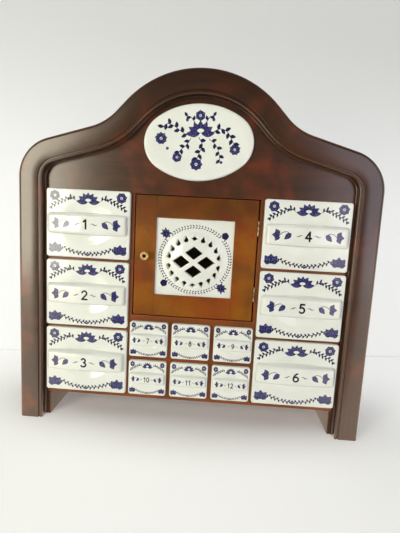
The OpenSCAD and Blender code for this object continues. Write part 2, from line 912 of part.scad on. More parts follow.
// One ceramic drawer, cast in one piece: front, grip, finger hollow and open box
module drawer(x, z, open_size, lap, box_d, wall, grip_size, bow, hollow) {
  box_w = open_size[0] - 2*drawer_side_gap;
  box_h = open_size[1] - seat_gap - drawer_top_gap;
  box_z = seat_gap - open_size[1]/2;
  box_y = plate_y + plate_t;
  color(glaze) translate([x, 0, z]) union() {
    difference() {
      difference() {
        union() {
          from_front(plate_y, plate_t)
            round_rect(open_size[0] + 2*lap[0], open_size[1] + 2*lap[1], plate_r);
          board([-box_w/2, box_y - plate_t/2, box_z], [box_w/2, box_y + box_d, box_z + box_h]);
        }
        board([wall - box_w/2, box_y + wall, box_z + wall],
              [box_w/2 - wall, box_y + box_d - wall, box_z + box_h + cut]);
      }
      difference() {
        oval_hollow(0, plate_y, 0, hollow[0], hollow[1], hollow[2]);
        board([-grip_size[0]/2, plate_y - cut, web_inset - grip_size[1]/2],
              [grip_size[0]/2, box_y + wall, grip_size[1]/2 - web_inset]);
      }
    }
    grip(grip_size[0], grip_size[1], grip_size[2], bow);
  }
}

// A large drawer on the left or the right, in row 0 at the top to row 2 at the bottom
module large_drawer(side, row) {
  drawer(side*big_x, open_top_z - big_open_h/2 - row*big_pitch_z,
         [big_open_w, big_open_h], [big_lap_x, big_lap_z], big_box_d, big_wall,
         [big_grip_w, big_grip_h, big_grip_d], big_grip_bow,
         [big_hollow_w, big_hollow_h, big_hollow_d]);
}

// A small drawer in column -1, 0 or 1, in row 0 at the top or row 1 at the bottom
module small_drawer(column, row) {
  drawer(column*small_pitch_x, door_shelf_z - small_open_h/2 - row*small_pitch_z,
         [small_open_w, small_open_h], [small_lap_x, small_lap_z], small_box_d, small_wall,
         [small_grip_w, small_grip_h, small_grip_d], small_grip_bow,
         [small_hollow_w, small_hollow_h, small_hollow_d]);
}

side_board(-1);  // left_side
side_board(1);  // right_side
bottom_board();
top_board();
divider(-1);  // left_divider
divider(1);  // right_divider
big_shelf(-1, 2);  // left_upper_shelf
big_shelf(-1, 1);  // left_lower_shelf
big_shelf(1, 2);  // right_upper_shelf
big_shelf(1, 1);  // right_lower_shelf
door_shelf();
small_drawer_shelf();
upright(-1);  // left_upright
upright(1);  // right_upright
header_panel();
back_panel();
back_panel_nails();
post(-1);  // left_post
post(1);  // right_post
shoulder_moulding(-1);  // left_shoulder_moulding
shoulder_moulding(1);  // right_shoulder_moulding
crown_moulding();
oval_plaque();
door_stile(door_x0, view_x0);  // door_left_stile
door_stile(view_x1, door_x1);  // door_right_stile
door_rail(view_z1, door_z1);  // door_top_rail
door_rail(door_z0, view_z0);  // door_bottom_rail
pierced_tile();
tile_retaining_strips();
door_knob();
knob_screw();
hinge_leaf(upper_hinge_z, true);  // upper_hinge_frame_leaf
hinge_leaf(upper_hinge_z, false);  // upper_hinge_door_leaf
hinge_pin(upper_hinge_z);  // upper_hinge_pin
hinge_leaf(lower_hinge_z, true);  // lower_hinge_frame_leaf
hinge_leaf(lower_hinge_z, false);  // lower_hinge_door_leaf
hinge_pin(lower_hinge_z);  // lower_hinge_pin
frame_leaf_screws();
door_leaf_screws();
catch_block();
catch_magnet();
catch_strike();
large_drawer(-1, 0);  // left_drawer_top
large_drawer(-1, 1);  // left_drawer_middle
large_drawer(-1, 2);  // left_drawer_bottom
large_drawer(1, 0);  // right_drawer_top
large_drawer(1, 1);  // right_drawer_middle
large_drawer(1, 2);  // right_drawer_bottom
small_drawer(-1, 0);  // small_drawer_1
small_drawer(0, 0);  // small_drawer_2
small_drawer(1, 0);  // small_drawer_3
small_drawer(-1, 1);  // small_drawer_4
small_drawer(0, 1);  // small_drawer_5
small_drawer(1, 1);  // small_drawer_6
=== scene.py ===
"""Looks of a free-standing spice cabinet: lacquered wood with an arched crown, twelve glazed
drawers, a small door with a pierced tile and an oval plaque. Metres; the front faces -Y."""

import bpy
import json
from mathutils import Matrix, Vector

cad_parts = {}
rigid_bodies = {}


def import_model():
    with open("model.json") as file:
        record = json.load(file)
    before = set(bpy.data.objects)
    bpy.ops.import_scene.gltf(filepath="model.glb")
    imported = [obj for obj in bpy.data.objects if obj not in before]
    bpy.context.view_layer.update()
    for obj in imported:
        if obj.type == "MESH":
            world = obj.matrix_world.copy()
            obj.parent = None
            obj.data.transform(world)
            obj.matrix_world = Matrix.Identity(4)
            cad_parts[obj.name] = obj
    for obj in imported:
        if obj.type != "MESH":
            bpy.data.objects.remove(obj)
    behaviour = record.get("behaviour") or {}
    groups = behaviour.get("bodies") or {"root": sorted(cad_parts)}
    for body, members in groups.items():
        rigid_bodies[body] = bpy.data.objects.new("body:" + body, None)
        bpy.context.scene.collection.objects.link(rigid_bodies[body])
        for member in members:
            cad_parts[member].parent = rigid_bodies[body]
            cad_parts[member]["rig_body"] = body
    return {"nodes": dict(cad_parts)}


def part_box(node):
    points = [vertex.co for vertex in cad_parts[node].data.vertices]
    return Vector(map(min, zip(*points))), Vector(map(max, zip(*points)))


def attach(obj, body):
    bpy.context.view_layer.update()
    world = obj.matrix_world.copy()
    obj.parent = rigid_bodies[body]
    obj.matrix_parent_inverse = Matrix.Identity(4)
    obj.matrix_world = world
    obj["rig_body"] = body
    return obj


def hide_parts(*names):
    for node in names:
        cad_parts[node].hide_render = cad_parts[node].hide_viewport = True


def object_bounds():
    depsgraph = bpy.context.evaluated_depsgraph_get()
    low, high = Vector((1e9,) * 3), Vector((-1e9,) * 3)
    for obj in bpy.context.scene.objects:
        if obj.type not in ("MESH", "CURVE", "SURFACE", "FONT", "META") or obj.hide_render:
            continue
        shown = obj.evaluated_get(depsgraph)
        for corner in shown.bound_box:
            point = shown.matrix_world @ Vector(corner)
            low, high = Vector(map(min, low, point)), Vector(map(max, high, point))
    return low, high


bl_info = {
    "name": "Spice Cabinet",
    "version": (1, 0, 0),
    "blender": (4, 5, 0),
    "location": "View3D > Sidebar > Cabinet",
    "description": "Builds the wood, ceramic, fittings and stage of a spice cabinet",
    "category": "Add Mesh",
}

import json
import math

import bmesh
import bpy
import numpy as np
from bmesh.types import BMEdge, BMFace, BMVert
from bpy.props import FloatProperty, FloatVectorProperty, PointerProperty
from bpy.types import Operator, Panel, PropertyGroup
from mathutils import Matrix, Vector

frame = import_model()
CAD_BOX = [Vector(corner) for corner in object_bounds()]

MM = 0.001
# Points nearer than this are one
MERGE = 0.004 * MM
FACE_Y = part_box("left_side")[0].y
TOP_Z = CAD_BOX[1].z
HALF_W = CAD_BOX[1].x

LARGE_DRAWERS = [
    "left_drawer_top", "left_drawer_middle", "left_drawer_bottom",
    "right_drawer_top", "right_drawer_middle", "right_drawer_bottom",
]
SMALL_DRAWERS = [f"small_drawer_{i}" for i in range(1, 7)]

# Wooden pieces that are plain boards, and the way their grain runs
CARCASS_BOARDS = {
    "left_side": "z", "right_side": "z", "left_divider": "z", "right_divider": "z",
    "bottom_board": "x", "top_board": "x", "left_upper_shelf": "x", "left_lower_shelf": "x",
    "right_upper_shelf": "x", "right_lower_shelf": "x", "door_shelf": "x",
    "small_drawer_shelf": "x", "left_upright": "z", "right_upright": "z", "header_panel": "x",
}
DOOR_BOARDS = {
    "door_left_stile": "z", "door_right_stile": "z", "door_top_rail": "x", "door_bottom_rail": "x",
    "tile_retaining_strips": "x",
}
PLAIN_BOARDS = {"back_panel": "z", "catch_block": "z"}
OUTER_BOARDS = ("left_side", "right_side", "top_board")
STEEL_PIECES = ("knob_screw", "catch_magnet", "catch_strike", "back_panel_nails")


def length(name, description, mm):
    return FloatProperty(name=name, description=description, default=mm * MM, min=0, unit="LENGTH")


def degrees(name, description, value):
    return FloatProperty(
        name=name, description=description, default=math.radians(value), unit="ROTATION",
        subtype="ANGLE")


def linear(level):
    """A 0 to 255 screen level as linear light."""
    v = level / 255
    return v / 12.92 if v <= 0.04045 else ((v + 0.055) / 1.055) ** 2.4


def tint(name, description, red, green, blue):
    return FloatVectorProperty(
        name=name, description=description, subtype="COLOR", size=3, min=0, max=1,
        default=(linear(red), linear(green), linear(blue)))


# Each size of a drawer: its name, label and meaning, and its millimetres on a large and a small one
DRAWER_SIZES = (
    ("plate_t", "Plate thickness", "Thickness of the front", 4.7, 4.7),
    ("plate_r", "Corner radius", "Radius of the front's corners", 3, 3),
    ("edge_r", "Edge rounding", "How far the front's edges are rounded", 1.5, 1.2),
    ("grip_w", "Grip width", "Length of the grip across the front", 94, 43),
    ("grip_h", "Grip height", "Height of the grip", 23.5, 13),
    ("grip_d", "Grip depth", "How far the grip stands proud", 9, 5),
    ("grip_bow", "Grip bow", "How far the grip's middle bows past its ends", 3.7, 1.6),
    ("grip_r", "Grip rounding", "Radius of the grip's long edges", 4, 2.2),
    ("hollow_w", "Hollow width", "Width of the finger hollow", 62, 29),
    ("hollow_h", "Hollow height", "Height of the finger hollow", 49, 26),
    ("hollow_d", "Hollow depth", "Depth of the finger hollow", 4.5, 2.6),
    ("wall", "Box wall", "Wall thickness of the drawer box", 5, 4),
    ("side_gap", "Box inset", "How far the box stands in from the opening", 1, 1),
    ("lap_x", "Side lap", "How far the front laps past the opening at each side", 3.45, 1.15),
    ("lap_z", "Top lap", "How far the front laps past the opening's top and bottom", 1.35, 0.85),
    ("cell", "Mesh cell", "Distance between the points of the front", 0.62, 0.4),
)


class LargeDrawerSizes(PropertyGroup):
    """Sizes of a large drawer's glazed front and box"""
    __annotations__ = {name: length(label, text, mm) for name, label, text, mm, _ in DRAWER_SIZES}


class SmallDrawerSizes(PropertyGroup):
    """Sizes of a small drawer's glazed front and box"""
    __annotations__ = {name: length(label, text, mm) for name, label, text, _, mm in DRAWER_SIZES}


class MouldingSizes(PropertyGroup):
    """Path and section of the moulding round the cabinet"""
    crown_r: length("Crown radius", "Radius of the crown's outer edge", 116)
    crown_slope: degrees("Crown slope", "Slope of the crown's sides", 47)
    crown_run: length("Crown run", "Straight stretch below the crown's arc", 16.5)
    sweep_r: length("Sweep radius", "Radius of the hollow sweep beside the crown", 64)
    shoulder_slope: degrees("Shoulder slope", "Slope of the shoulders", 16.5)
    shoulder_r: length("Shoulder radius", "Radius of the rounded shoulders", 46.5)
    width: length("Width", "Width of the moulding from edge to bead", 29)
    thickness: length("Thickness", "Thickness of the moulding", 11)
    edge_r: length("Edge radius", "Radius of the rounded outer edge", 4)
    bead_r: length("Bead radius", "Radius of the bead", 1.6)
    cove_r: length("Cove radius", "Radius of the cove inside the bead", 1.2)
    quirk_w: length("Quirk width", "Width of the groove beside the bead", 1.3)
    quirk_d: length("Quirk depth", "Depth of the groove beside the bead", 1.3)


class TileSizes(PropertyGroup):
    """Sizes of the door's pierced tile"""
    thickness: length("Thickness", "Thickness of the tile", 5)
    dome_w: length("Dome width", "Width of the dome", 74)
    dome_drop: length("Dome drop", "How far the dome's middle lies below the tile's middle", 4.2)
    dome_h: length("Dome height", "Height of the dome", 9)
    dome_wall: length("Dome wall", "Wall thickness of the dome", 4)
    diamond_w: length("Diamond width", "Width of a large diamond hole", 21.2)
    diamond_h: length("Diamond height", "Height of a large diamond hole", 15.8)
    diamond_dx: length("Side diamonds", "Distance of the side diamonds from the middle", 15.1)
    diamond_dz: length("Top diamonds", "Distance of the top and bottom diamonds from the middle", 11.2)
    small_w: length("Small diamond width", "Width of a small diamond hole", 7.8)
    small_h: length("Small diamond height", "Height of a small diamond hole", 6)
    small_dz: length("Small diamonds", "Distance of the small diamonds from the middle", 28.3)
    drop_step: degrees("Drop step", "Angle from one drop to the next", 19.4)
    ring_a: length("Ring half width", "Half width of the ring of drops", 30.8)
    ring_b: length("Ring half height", "Half height of the ring of drops", 27.6)
    drop_r: length("Drop radius", "Radius of a drop hole", 2.85)
    drop_tip: length("Drop tip", "Distance of a drop's tip from its middle", 5.2)
    drop_lean: degrees("Drop lean", "How far the drops lean outwards", 16)
    cell: length("Mesh cell", "Distance between the points of the tile", 0.6)


class PlaqueSizes(PropertyGroup):
    """Sizes of the oval plaque"""
    width: length("Width", "Width of the plaque", 125.6)
    height: length("Height", "Height of the plaque", 85.6)
    turn: degrees("Turn", "Turn of the plaque to the left", 2.7)
    rim: length("Rim", "Width of the raised rim", 6)
    dish_d: length("Dish depth", "Depth of the dish", 3.4)
    edge_r: length("Edge rounding", "How far the outer edge is rounded", 2)
    cell: length("Mesh cell", "Distance between the points of the plaque", 0.68)


class WoodLooks(PropertyGroup):
    """Colours of the wood"""
    dark: tint("Dark grain", "Dark streaks of the lacquered carcass", 40, 25, 13)
    mid: tint("Grain", "Main colour of the lacquered carcass", 77, 43, 17)
    warm: tint("Warm patches", "Where the lacquer glows red", 118, 50, 14)
    # The worn colour also stands for the painted highlight along the moulding's bead and rounded outer
    # edge
    worn: tint("Worn edges", "Where the lacquer has thinned on edges", 122, 84, 50)
    edge_dark: tint("Board dark grain", "Dark streaks of the boards between the drawers", 92, 48, 20)
    edge_mid: tint("Board grain", "Main colour of the boards between the drawers", 128, 72, 28)
    edge_warm: tint("Board warm patches", "Where these boards glow red", 142, 72, 24)
    door_dark: tint("Door dark grain", "Dark streaks of the door", 100, 58, 20)
    door_mid: tint("Door grain", "Main colour of the door", 147, 87, 4)
    door_warm: tint("Door warm patches", "Reddish patches of the door", 138, 62, 10)
    plain_dark: tint("Plain dark grain", "Dark streaks of unlacquered wood", 122, 88, 56)
    plain_mid: tint("Plain grain", "Main colour of unlacquered wood", 168, 130, 88)
    knob: tint("Knob", "Pale wood of the knob", 236, 190, 120)


class GlazeLooks(PropertyGroup):
    """Colours of the glaze and its painting"""
    white: tint("Glaze", "The white glaze", 235, 239, 234)
    cobalt: tint("Cobalt", "Washes of cobalt blue", 62, 62, 132)
    line: tint("Line", "Dark blue lines and leaves", 34, 34, 74)
    ink: tint("Numerals", "Blue-black of the numerals", 30, 30, 40)


class CabinetSettings(PropertyGroup):
    """All sizes and colours of the cabinet"""
    large: PointerProperty(type=LargeDrawerSizes)
    small: PointerProperty(type=SmallDrawerSizes)
    moulding: PointerProperty(type=MouldingSizes)
    tile: PointerProperty(type=TileSizes)
    plaque: PointerProperty(type=PlaqueSizes)
    wood: PointerProperty(type=WoodLooks)
    glaze: PointerProperty(type=GlazeLooks)


# ---------------------------------------------------------------- shader nodes

def settings():
    return bpy.context.scene.spice_cabinet


def fill(tree, node, inputs):
    """Links or sets a node's inputs."""
    for key, value in inputs.items():
        if isinstance(value, bpy.types.NodeSocket):
            tree.links.new(value, node.inputs[key])
        else:
            node.inputs[key].default_value = value


def add(tree, kind, inputs=None, **options):
    """Adds a node, sets it up, and links or sets its inputs."""
    node = tree.nodes.new("ShaderNode" + kind)
    for name, value in options.items():
        setattr(node, name, value)
    fill(tree, node, inputs or {})
    return node


def blended(tree, factor, first, second, mode="MIX"):
    """A colour mix of two sockets or colours."""
    node = add(tree, "Mix", {0: factor, 6: first, 7: second}, data_type="RGBA", blend_type=mode)
    return node.outputs[2]


def ranged(tree, value, low, high, to_low=0.0, to_high=1.0):
    """A value eased from one range to another."""
    node = add(tree, "MapRange", {
        "Value": value, "From Min": low, "From Max": high, "To Min": to_low, "To Max": to_high},
        interpolation_type="SMOOTHSTEP")
    return node.outputs["Result"]


def stretched(tree, vector, scale):
    """A vector scaled along each axis."""
    return add(tree, "VectorMath", {0: vector, 1: scale}, operation="MULTIPLY").outputs[0]


def noise(tree, vector, scale, detail, roughness, distortion=0.0):
    """Noise of a vector that is stretched by a scale along each axis."""
    node = add(tree, "TexNoise", {
        "Vector": stretched(tree, vector, scale), "Scale": 1.0, "Detail": detail,
        "Roughness": roughness, "Distortion": distortion})
    return node.outputs["Fac"]


def maths(tree, operation, first, second=0.0):
    return add(tree, "Math", {0: first, 1: second}, operation=operation).outputs[0]


def times(tree, first, second):
    return maths(tree, "MULTIPLY", first, second)


def plus(tree, first, second):
    return maths(tree, "ADD", first, second)


def parts(tree, vector):
    """The X, Y and Z of a vector."""
    return add(tree, "SeparateXYZ", {0: vector}).outputs


def object_place(tree):
    return add(tree, "TexCoord").outputs["Object"]


def attribute(tree, name, output="Fac"):
    return add(tree, "Attribute", attribute_name=name).outputs[output]


def node_group(name, **inputs):
    """A new shader group with inputs of each kind, their labels in one string, that gives a
    surface's colour, roughness and height."""
    tree = bpy.data.node_groups.new(name, "ShaderNodeTree")
    for kind, labels in inputs.items():
        for label in labels.split():
            tree.interface.new_socket(name=label, in_out="INPUT", socket_type="NodeSocket" + kind)
    for label, kind in (("Color", "Color"), ("Roughness", "Float"), ("Height", "Float")):
        tree.interface.new_socket(name=label, in_out="OUTPUT", socket_type="NodeSocket" + kind)
    return tree, tree.nodes.new("NodeGroupInput").outputs, tree.nodes.new("NodeGroupOutput")


def grain_group():
    """Wood under lacquer: streaks and pores along the grain, broad bands, reddish patches, dark
    clouds, and a lighter colour for worn edges that on the moulding also stands for a painted
    highlight."""
    if "lacquered_grain" in bpy.data.node_groups:
        return bpy.data.node_groups["lacquered_grain"]
    tree, given, out = node_group(
        "lacquered_grain", Vector="Grain Place", Color="Dark Mid Warm Worn",
        Float="Wear Patches Streaks Tone")
    grain, place = given["Grain"], given["Place"]
    streak = noise(tree, grain, (7, 230, 230), 5, 0.6, 0.25)
    band = noise(tree, grain, (3.2, 42, 42), 2, 0.5, 0.9)
    pore = noise(tree, grain, (75, 1500, 1500), 1, 0.5)
    patch = noise(tree, place, (21, 21, 21), 2.5, 0.5, 0.6)
    cloud = noise(tree, place, (20, 20, 24), 3, 0.55, 0.3)

    tone = plus(tree, times(tree, streak, 0.55), times(tree, band, 0.45))
    streaked = times(tree, ranged(tree, tone, 0.34, 0.66, 1.0, 0.0), given["Streaks"])
    base = blended(tree, streaked, given["Mid"], given["Dark"])

    # The patches are redder about the cabinet's middle, below the crown
    where = parts(tree, place)
    below_crown = ranged(tree, where["Z"], 0.35, 0.39, 1.0, 0.0)
    middle = ranged(tree, maths(tree, "ABSOLUTE", where["X"]), 0.04, 0.15, 0.13, 0.0)
    patch = plus(tree, patch, times(tree, below_crown, middle))
    warmth = times(tree, ranged(tree, patch, 0.5, 0.8), given["Patches"])
    base = blended(tree, warmth, base, given["Warm"])
    shade = times(tree, ranged(tree, cloud, 0.36, 0.58, 0.6, 0.0), given["Patches"])
    base = blended(tree, shade, base, given["Dark"])

    pores = ranged(tree, pore, 0.6, 0.72, 0.0, 0.35)
    base = blended(tree, pores, base, given["Dark"])
    # Worn colour: lacquer wear on board edges, and on the moulding partly a painted highlight
    scuffed_and_highlight = times(tree, given["Wear"], ranged(tree, streak, 0.38, 0.6, 0.35, 1.0))
    base = blended(tree, scuffed_and_highlight, base, given["Worn"])
    sheen = ranged(tree, streak, 0.3, 0.7, 0.34, 0.46)
    fill(tree, out, {
        "Color": blended(tree, 1.0, base, given["Tone"], "MULTIPLY"),
        "Roughness": plus(tree, sheen, times(tree, pores, 0.3)),
        "Height": maths(tree, "SUBTRACT", times(tree, streak, 0.6), pores)})
    return tree


def glaze_group():
    """Painted glaze: washes and lines of cobalt and the numerals, from a paint attribute."""
    if "painted_glaze" in bpy.data.node_groups:
        return bpy.data.node_groups["painted_glaze"]
    tree, given, out = node_group(
        "painted_glaze", Vector="Place Paint", Color="White Cobalt Line Ink")
    place = given["Place"]
    layers = parts(tree, given["Paint"])
    ripple = noise(tree, place, (45, 45, 45), 2, 0.5)
    pool = noise(tree, place, (420, 420, 420), 3, 0.6)
    brush = noise(tree, place, (1500, 1500, 700), 2, 0.6)
    cream = (0.9, 0.9, 0.86, 1)
    creamy = ranged(tree, ripple, 0.35, 0.7, 0.0, 0.35)
    white = blended(tree, creamy, given["White"], cream, "MULTIPLY")
    pooled = ranged(tree, pool, 0.3, 0.65, 0.0, 0.55)
    cobalt = blended(tree, pooled, given["Cobalt"], given["Line"])
    cobalt = blended(tree, ranged(tree, brush, 0.55, 0.75, 0.0, 0.3), cobalt, given["White"])
    color = blended(tree, ranged(tree, layers["X"], 0.4, 0.6), white, cobalt)
    color = blended(tree, ranged(tree, layers["Y"], 0.38, 0.62), color, given["Line"])
    color = blended(tree, ranged(tree, layers["Z"], 0.42, 0.58), color, given["Ink"])
    fill(tree, out, {
        "Color": color, "Roughness": ranged(tree, pool, 0.2, 0.8, 0.2, 0.3), "Height": ripple})
    return tree


def new_material(name, **values):
    """A material with a Principled shader, set on the shader's own sockets."""
    made = bpy.data.materials.new(name)
    made.use_nodes = True
    tree = made.node_tree
    shader = tree.nodes["Principled BSDF"]
    fill(tree, shader, {key.replace("_", " "): value for key, value in values.items()})
    return made, tree, shader


def bumped(tree, shader, height, strength, distance):
    bump = add(tree, "Bump", {"Strength": strength, "Distance": distance, "Height": height})
    fill(tree, shader, {"Normal": bump.outputs["Normal"]})


def grouped_material(name, shared, strength, distance, **values):
    """A material whose colour, roughness and bump come from a node group, with that group's node."""
    made, tree, shader = new_material(name, **values)
    group = add(tree, "Group", node_tree=shared)
    fill(tree, shader, {
        "Base Color": group.outputs["Color"], "Roughness": group.outputs["Roughness"]})
    bumped(tree, shader, group.outputs["Height"], strength, distance)
    return made, tree, group


def colors_of(looks, labels, names):
    """The named colours of a settings group, as inputs of a node under other labels."""
    return {label: (*getattr(looks, name), 1) for label, name in zip(labels.split(), names.split())}


# Each finish: its material's name, the colours of its dark, middle and warm wood and of its worn edges
# and painted highlights, the strength of its streaks and patches, the weight and roughness of its
# coat, and the two heights between which it darkens to a share of its colour
FINISHES = {
    "carcass": ("dark_lacquered_wood", "dark mid warm worn", 0.62, 0.8, 1.0, 0.22, (0.33, 0.41, 0.6)),
    "rubbed": ("rubbed_lacquered_wood", "dark mid warm worn", 0.5, 0.8, 0.2, 0.35, (0, 1, 1)),
    "boards": ("warm_lacquered_wood", "edge_dark edge_mid edge_warm edge_warm",
               0.5, 0.7, 0.4, 0.3, (0.2, 0.285, 0.55)),
    "door": ("door_lacquered_wood", "door_dark door_mid door_warm door_warm",
             0.15, 1.0, 0.3, 0.28, (0.23, 0.28, 0.5)),
    "plain": ("bare_wood", "plain_dark plain_mid plain_mid plain_mid", 0.6, 0.2, 0.0, 0.4, (0, 1, 1)),
}


def wood(finish):
    """Wood in one of the finishes, whose grain follows each piece's grain attribute."""
    name, colors, streaks, patches, coat, coat_roughness, (low, high, share) = FINISHES[finish]
    if name in bpy.data.materials:
        return bpy.data.materials[name]
    made, tree, group = grouped_material(
        name, grain_group(), 0.35, 0.15 * MM, Coat_Weight=coat, Coat_Roughness=coat_roughness,
        Coat_IOR=1.55, Specular_IOR_Level=0.12)
    place = object_place(tree)
    fill(tree, group, colors_of(settings().wood, "Dark Mid Warm Worn", colors))
    fill(tree, group, {
        "Grain": attribute(tree, "grain", "Vector"), "Wear": attribute(tree, "wear"),
        "Place": place, "Streaks": streaks, "Patches": patches,
        "Tone": ranged(tree, parts(tree, place)["Z"], low, high, 1.0, share)})
    return made


def glazed_ceramic():
    if "painted_ceramic" in bpy.data.materials:
        return bpy.data.materials["painted_ceramic"]
    made, tree, group = grouped_material(
        "painted_ceramic", glaze_group(), 0.25, 0.6 * MM, Coat_Weight=1.0, Coat_Roughness=0.06,
        Coat_IOR=1.5, Specular_IOR_Level=0.1)
    fill(tree, group, colors_of(
        settings().glaze, "White Cobalt Line Ink", "white cobalt line ink"))
    fill(tree, group, {
        "Place": object_place(tree), "Paint": attribute(tree, "paint", "Vector")})
    return made


# Each metal: its bright and its dull colour
METALS = {
    "aged_brass": ((0.4, 0.3, 0.17, 1), (0.12, 0.085, 0.05, 1)),
    "plain_steel": ((0.55, 0.55, 0.56, 1), (0.3, 0.29, 0.28, 1)),
}


def metal(name):
    """Metal with dull stains and fine scratches."""
    if name in bpy.data.materials:
        return bpy.data.materials[name]
    made, tree, shader = new_material(name, Metallic=1.0)
    place = object_place(tree)
    stain = noise(tree, place, (260, 260, 260), 4, 0.6)
    scratch = noise(tree, place, (900, 900, 6000), 2, 0.5)
    fill(tree, shader, {
        "Base Color": blended(tree, ranged(tree, stain, 0.35, 0.65), *METALS[name]),
        "Roughness": ranged(tree, stain, 0.3, 0.7, 0.3, 0.55)})
    bumped(tree, shader, scratch, 0.2, 0.05 * MM)
    return made


def pale_knob_wood():
    """Turned pale wood with fine streaks, and painted shade in its hollow front where the grime
    attribute says.
    """
    if "pale_knob_wood" in bpy.data.materials:
        return bpy.data.materials["pale_knob_wood"]
    made, tree, shader = new_material(
        "pale_knob_wood", Roughness=0.35, Coat_Weight=0.6, Coat_Roughness=0.2)
    streak = noise(tree, object_place(tree), (1800, 250, 300), 4, 0.6)
    pale = settings().wood.knob
    dark = tuple(0.55 * c for c in pale)
    # Colour of the painted shade in the knob's hollow front
    grime = (0.05, 0.026, 0.008, 1)
    streaked = blended(tree, ranged(tree, streak, 0.3, 0.7), (*dark, 1), (*pale, 1))
    fill(tree, shader, {"Base Color": blended(tree, attribute(tree, "grime"), streaked, grime)})
    bumped(tree, shader, streak, 0.2, 0.08 * MM)
    return made


# ---------------------------------------------------------------- meshes

def cad_copy(node):
    """A merged copy of a CAD node's mesh, to shape further."""
    bm = bmesh.new()
    bm.from_mesh(frame["nodes"][node].data)
    bmesh.ops.remove_doubles(bm, verts=bm.verts, dist=MERGE)
    bmesh.ops.dissolve_limit(bm, angle_limit=math.radians(0.8), verts=bm.verts, edges=bm.edges)
    return bm


def place_piece(mesh, material, node):
    """Makes the mesh a piece that stands for a CAD node and rides on its body."""
    mesh.materials.clear()
    mesh.materials.append(material)
    piece = bpy.data.objects.new(mesh.name, mesh)
    bpy.context.scene.collection.objects.link(piece)
    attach(piece, frame["nodes"][node]["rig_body"])
    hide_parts(node)


def to_mesh(bm, name, sharp_deg, recalculate=True):
    if recalculate:
        bmesh.ops.recalc_face_normals(bm, faces=bm.faces)
    mesh = bpy.data.meshes.new(name)
    bm.to_mesh(mesh)
    bm.free()
    mesh.polygons.foreach_set("use_smooth", np.ones(len(mesh.polygons), bool))
    mesh.set_sharp_from_angle(angle=math.radians(sharp_deg))
    return mesh


def vectors_of(mesh, name="position"):
    """The points of a mesh, or another vector that it keeps at each point."""
    values = np.zeros(len(mesh.vertices) * 3, np.float32)
    mesh.attributes[name].data.foreach_get("vector", values)
    return values.reshape(-1, 3).astype(float)


def set_attribute(mesh, name, values, kind="FLOAT", domain="POINT"):
    kept = mesh.attributes.get(name) or mesh.attributes.new(name, kind, domain)
    key = "vector" if kind == "FLOAT_VECTOR" else "value"
    kept.data.foreach_set(key, np.asarray(values, np.float32).ravel())


def board_grain(mesh, axis, number):
    """Grain coordinates of a board: along its length, then across it, shifted so that no two
    boards match."""
    along = {"x": (0, 2, 1), "z": (2, 0, 1)}[axis]
    shift = np.array([0.37, 0.113, 0.071]) * (number + 1)
    set_attribute(mesh, "grain", vectors_of(mesh)[:, along] + shift, "FLOAT_VECTOR")


def bevelled(bm, edges, width, segments):
    """Rounds the edges and returns the new faces."""
    return bmesh.ops.bevel(
        bm, geom=edges, offset=width, offset_type="OFFSET", segments=segments, profile=0.5,
        affect="EDGES", clamp_overlap=True, material=-1)["faces"]


def softened_board(node, axis, number, finish, width):
    """A board with its long sharp edges rubbed round."""
    shortest = 5 * MM
    bm = cad_copy(node)
    sharp = [e for e in bm.edges
             if e.is_manifold and e.is_convex and e.calc_length() > shortest
             and e.calc_face_angle(0) > math.radians(50)]
    worn = set(bevelled(bm, sharp, width, 2))
    wear = [1.0 if f in worn else 0.0 for f in bm.faces]
    mesh = to_mesh(bm, node + "_wood", 40, recalculate=False)
    mesh.polygons.foreach_set("use_smooth", np.array(wear, bool))
    set_attribute(mesh, "wear", wear, "FLOAT", "FACE")
    board_grain(mesh, axis, number)
    place_piece(mesh, wood(finish), node)


# ---------------------------------------------------------------- moulding

def at(deg):
    """The direction at an angle, as a complex number: right is 1 and up is 1j."""
    return complex(math.cos(math.radians(deg)), math.sin(math.radians(deg)))


def in_frame(p, y):
    return Vector((p.real, y, p.imag))


def of_kind(geom, kind):
    return [g for g in geom if isinstance(g, kind)]


def wire_to(bm, vert, x, y):
    new = bmesh.ops.extrude_vert_indiv(bm, verts=[vert])["verts"][0]
    new.co = (x, y, 0)
    return new


def wire_arc(bm, vert, x, y, angle_deg, steps):
    made = bmesh.ops.spin(
        bm, geom=[vert], cent=(x, y, 0), axis=(0, 0, 1), angle=math.radians(angle_deg),
        steps=steps, use_duplicate=False, dvec=(0, 0, 0), space=Matrix.Identity(4))
    return of_kind(made["geom_last"], BMVert)[0]


def outline(bm, steps):
    """A wire from the origin through points, given as X and Y, and round arcs, given as the X and
    Y of the centre, the angle and the pieces. Returns its first and last points."""
    first = last = bmesh.ops.create_vert(bm, co=(0, 0, 0))["vert"][0]
    for step in steps:
        last = wire_to(bm, last, *step) if len(step) == 2 else wire_arc(bm, last, *step)
    return first, last


def moulding_section(m):
    """The moulding's section in X (in from the outer edge) and Y (up from the carcass)."""
    flat = m.width - m.cove_r - 2 * m.bead_r - m.quirk_w
    bead_u = flat + m.quirk_w + m.bead_r
    bead_sunk, cove_foot, lip = 0.3 * MM, 1 * MM, 0.4 * MM
    bead_v = m.thickness - bead_sunk - m.bead_r
    floor_v = m.thickness - m.quirk_d
    cove_v = cove_foot + m.cove_r
    bm = bmesh.new()
    first, last = outline(bm, (
        (0, m.thickness - m.edge_r), (m.edge_r, m.thickness - m.edge_r, -90, 8),
        (0.5 * (m.edge_r + flat), m.thickness), (flat - lip, m.thickness),
        (flat - lip, m.thickness - lip, -90, 3), (flat + 0.2 * m.quirk_w, floor_v),
        (bead_u - m.bead_r, floor_v), (bead_u - m.bead_r, bead_v), (bead_u, bead_v, -180, 12),
        (bead_u + m.bead_r, cove_v), (m.width, cove_v, 90, 4), (m.width, 0)))
    bm.edges.new((last, first))
    return bm


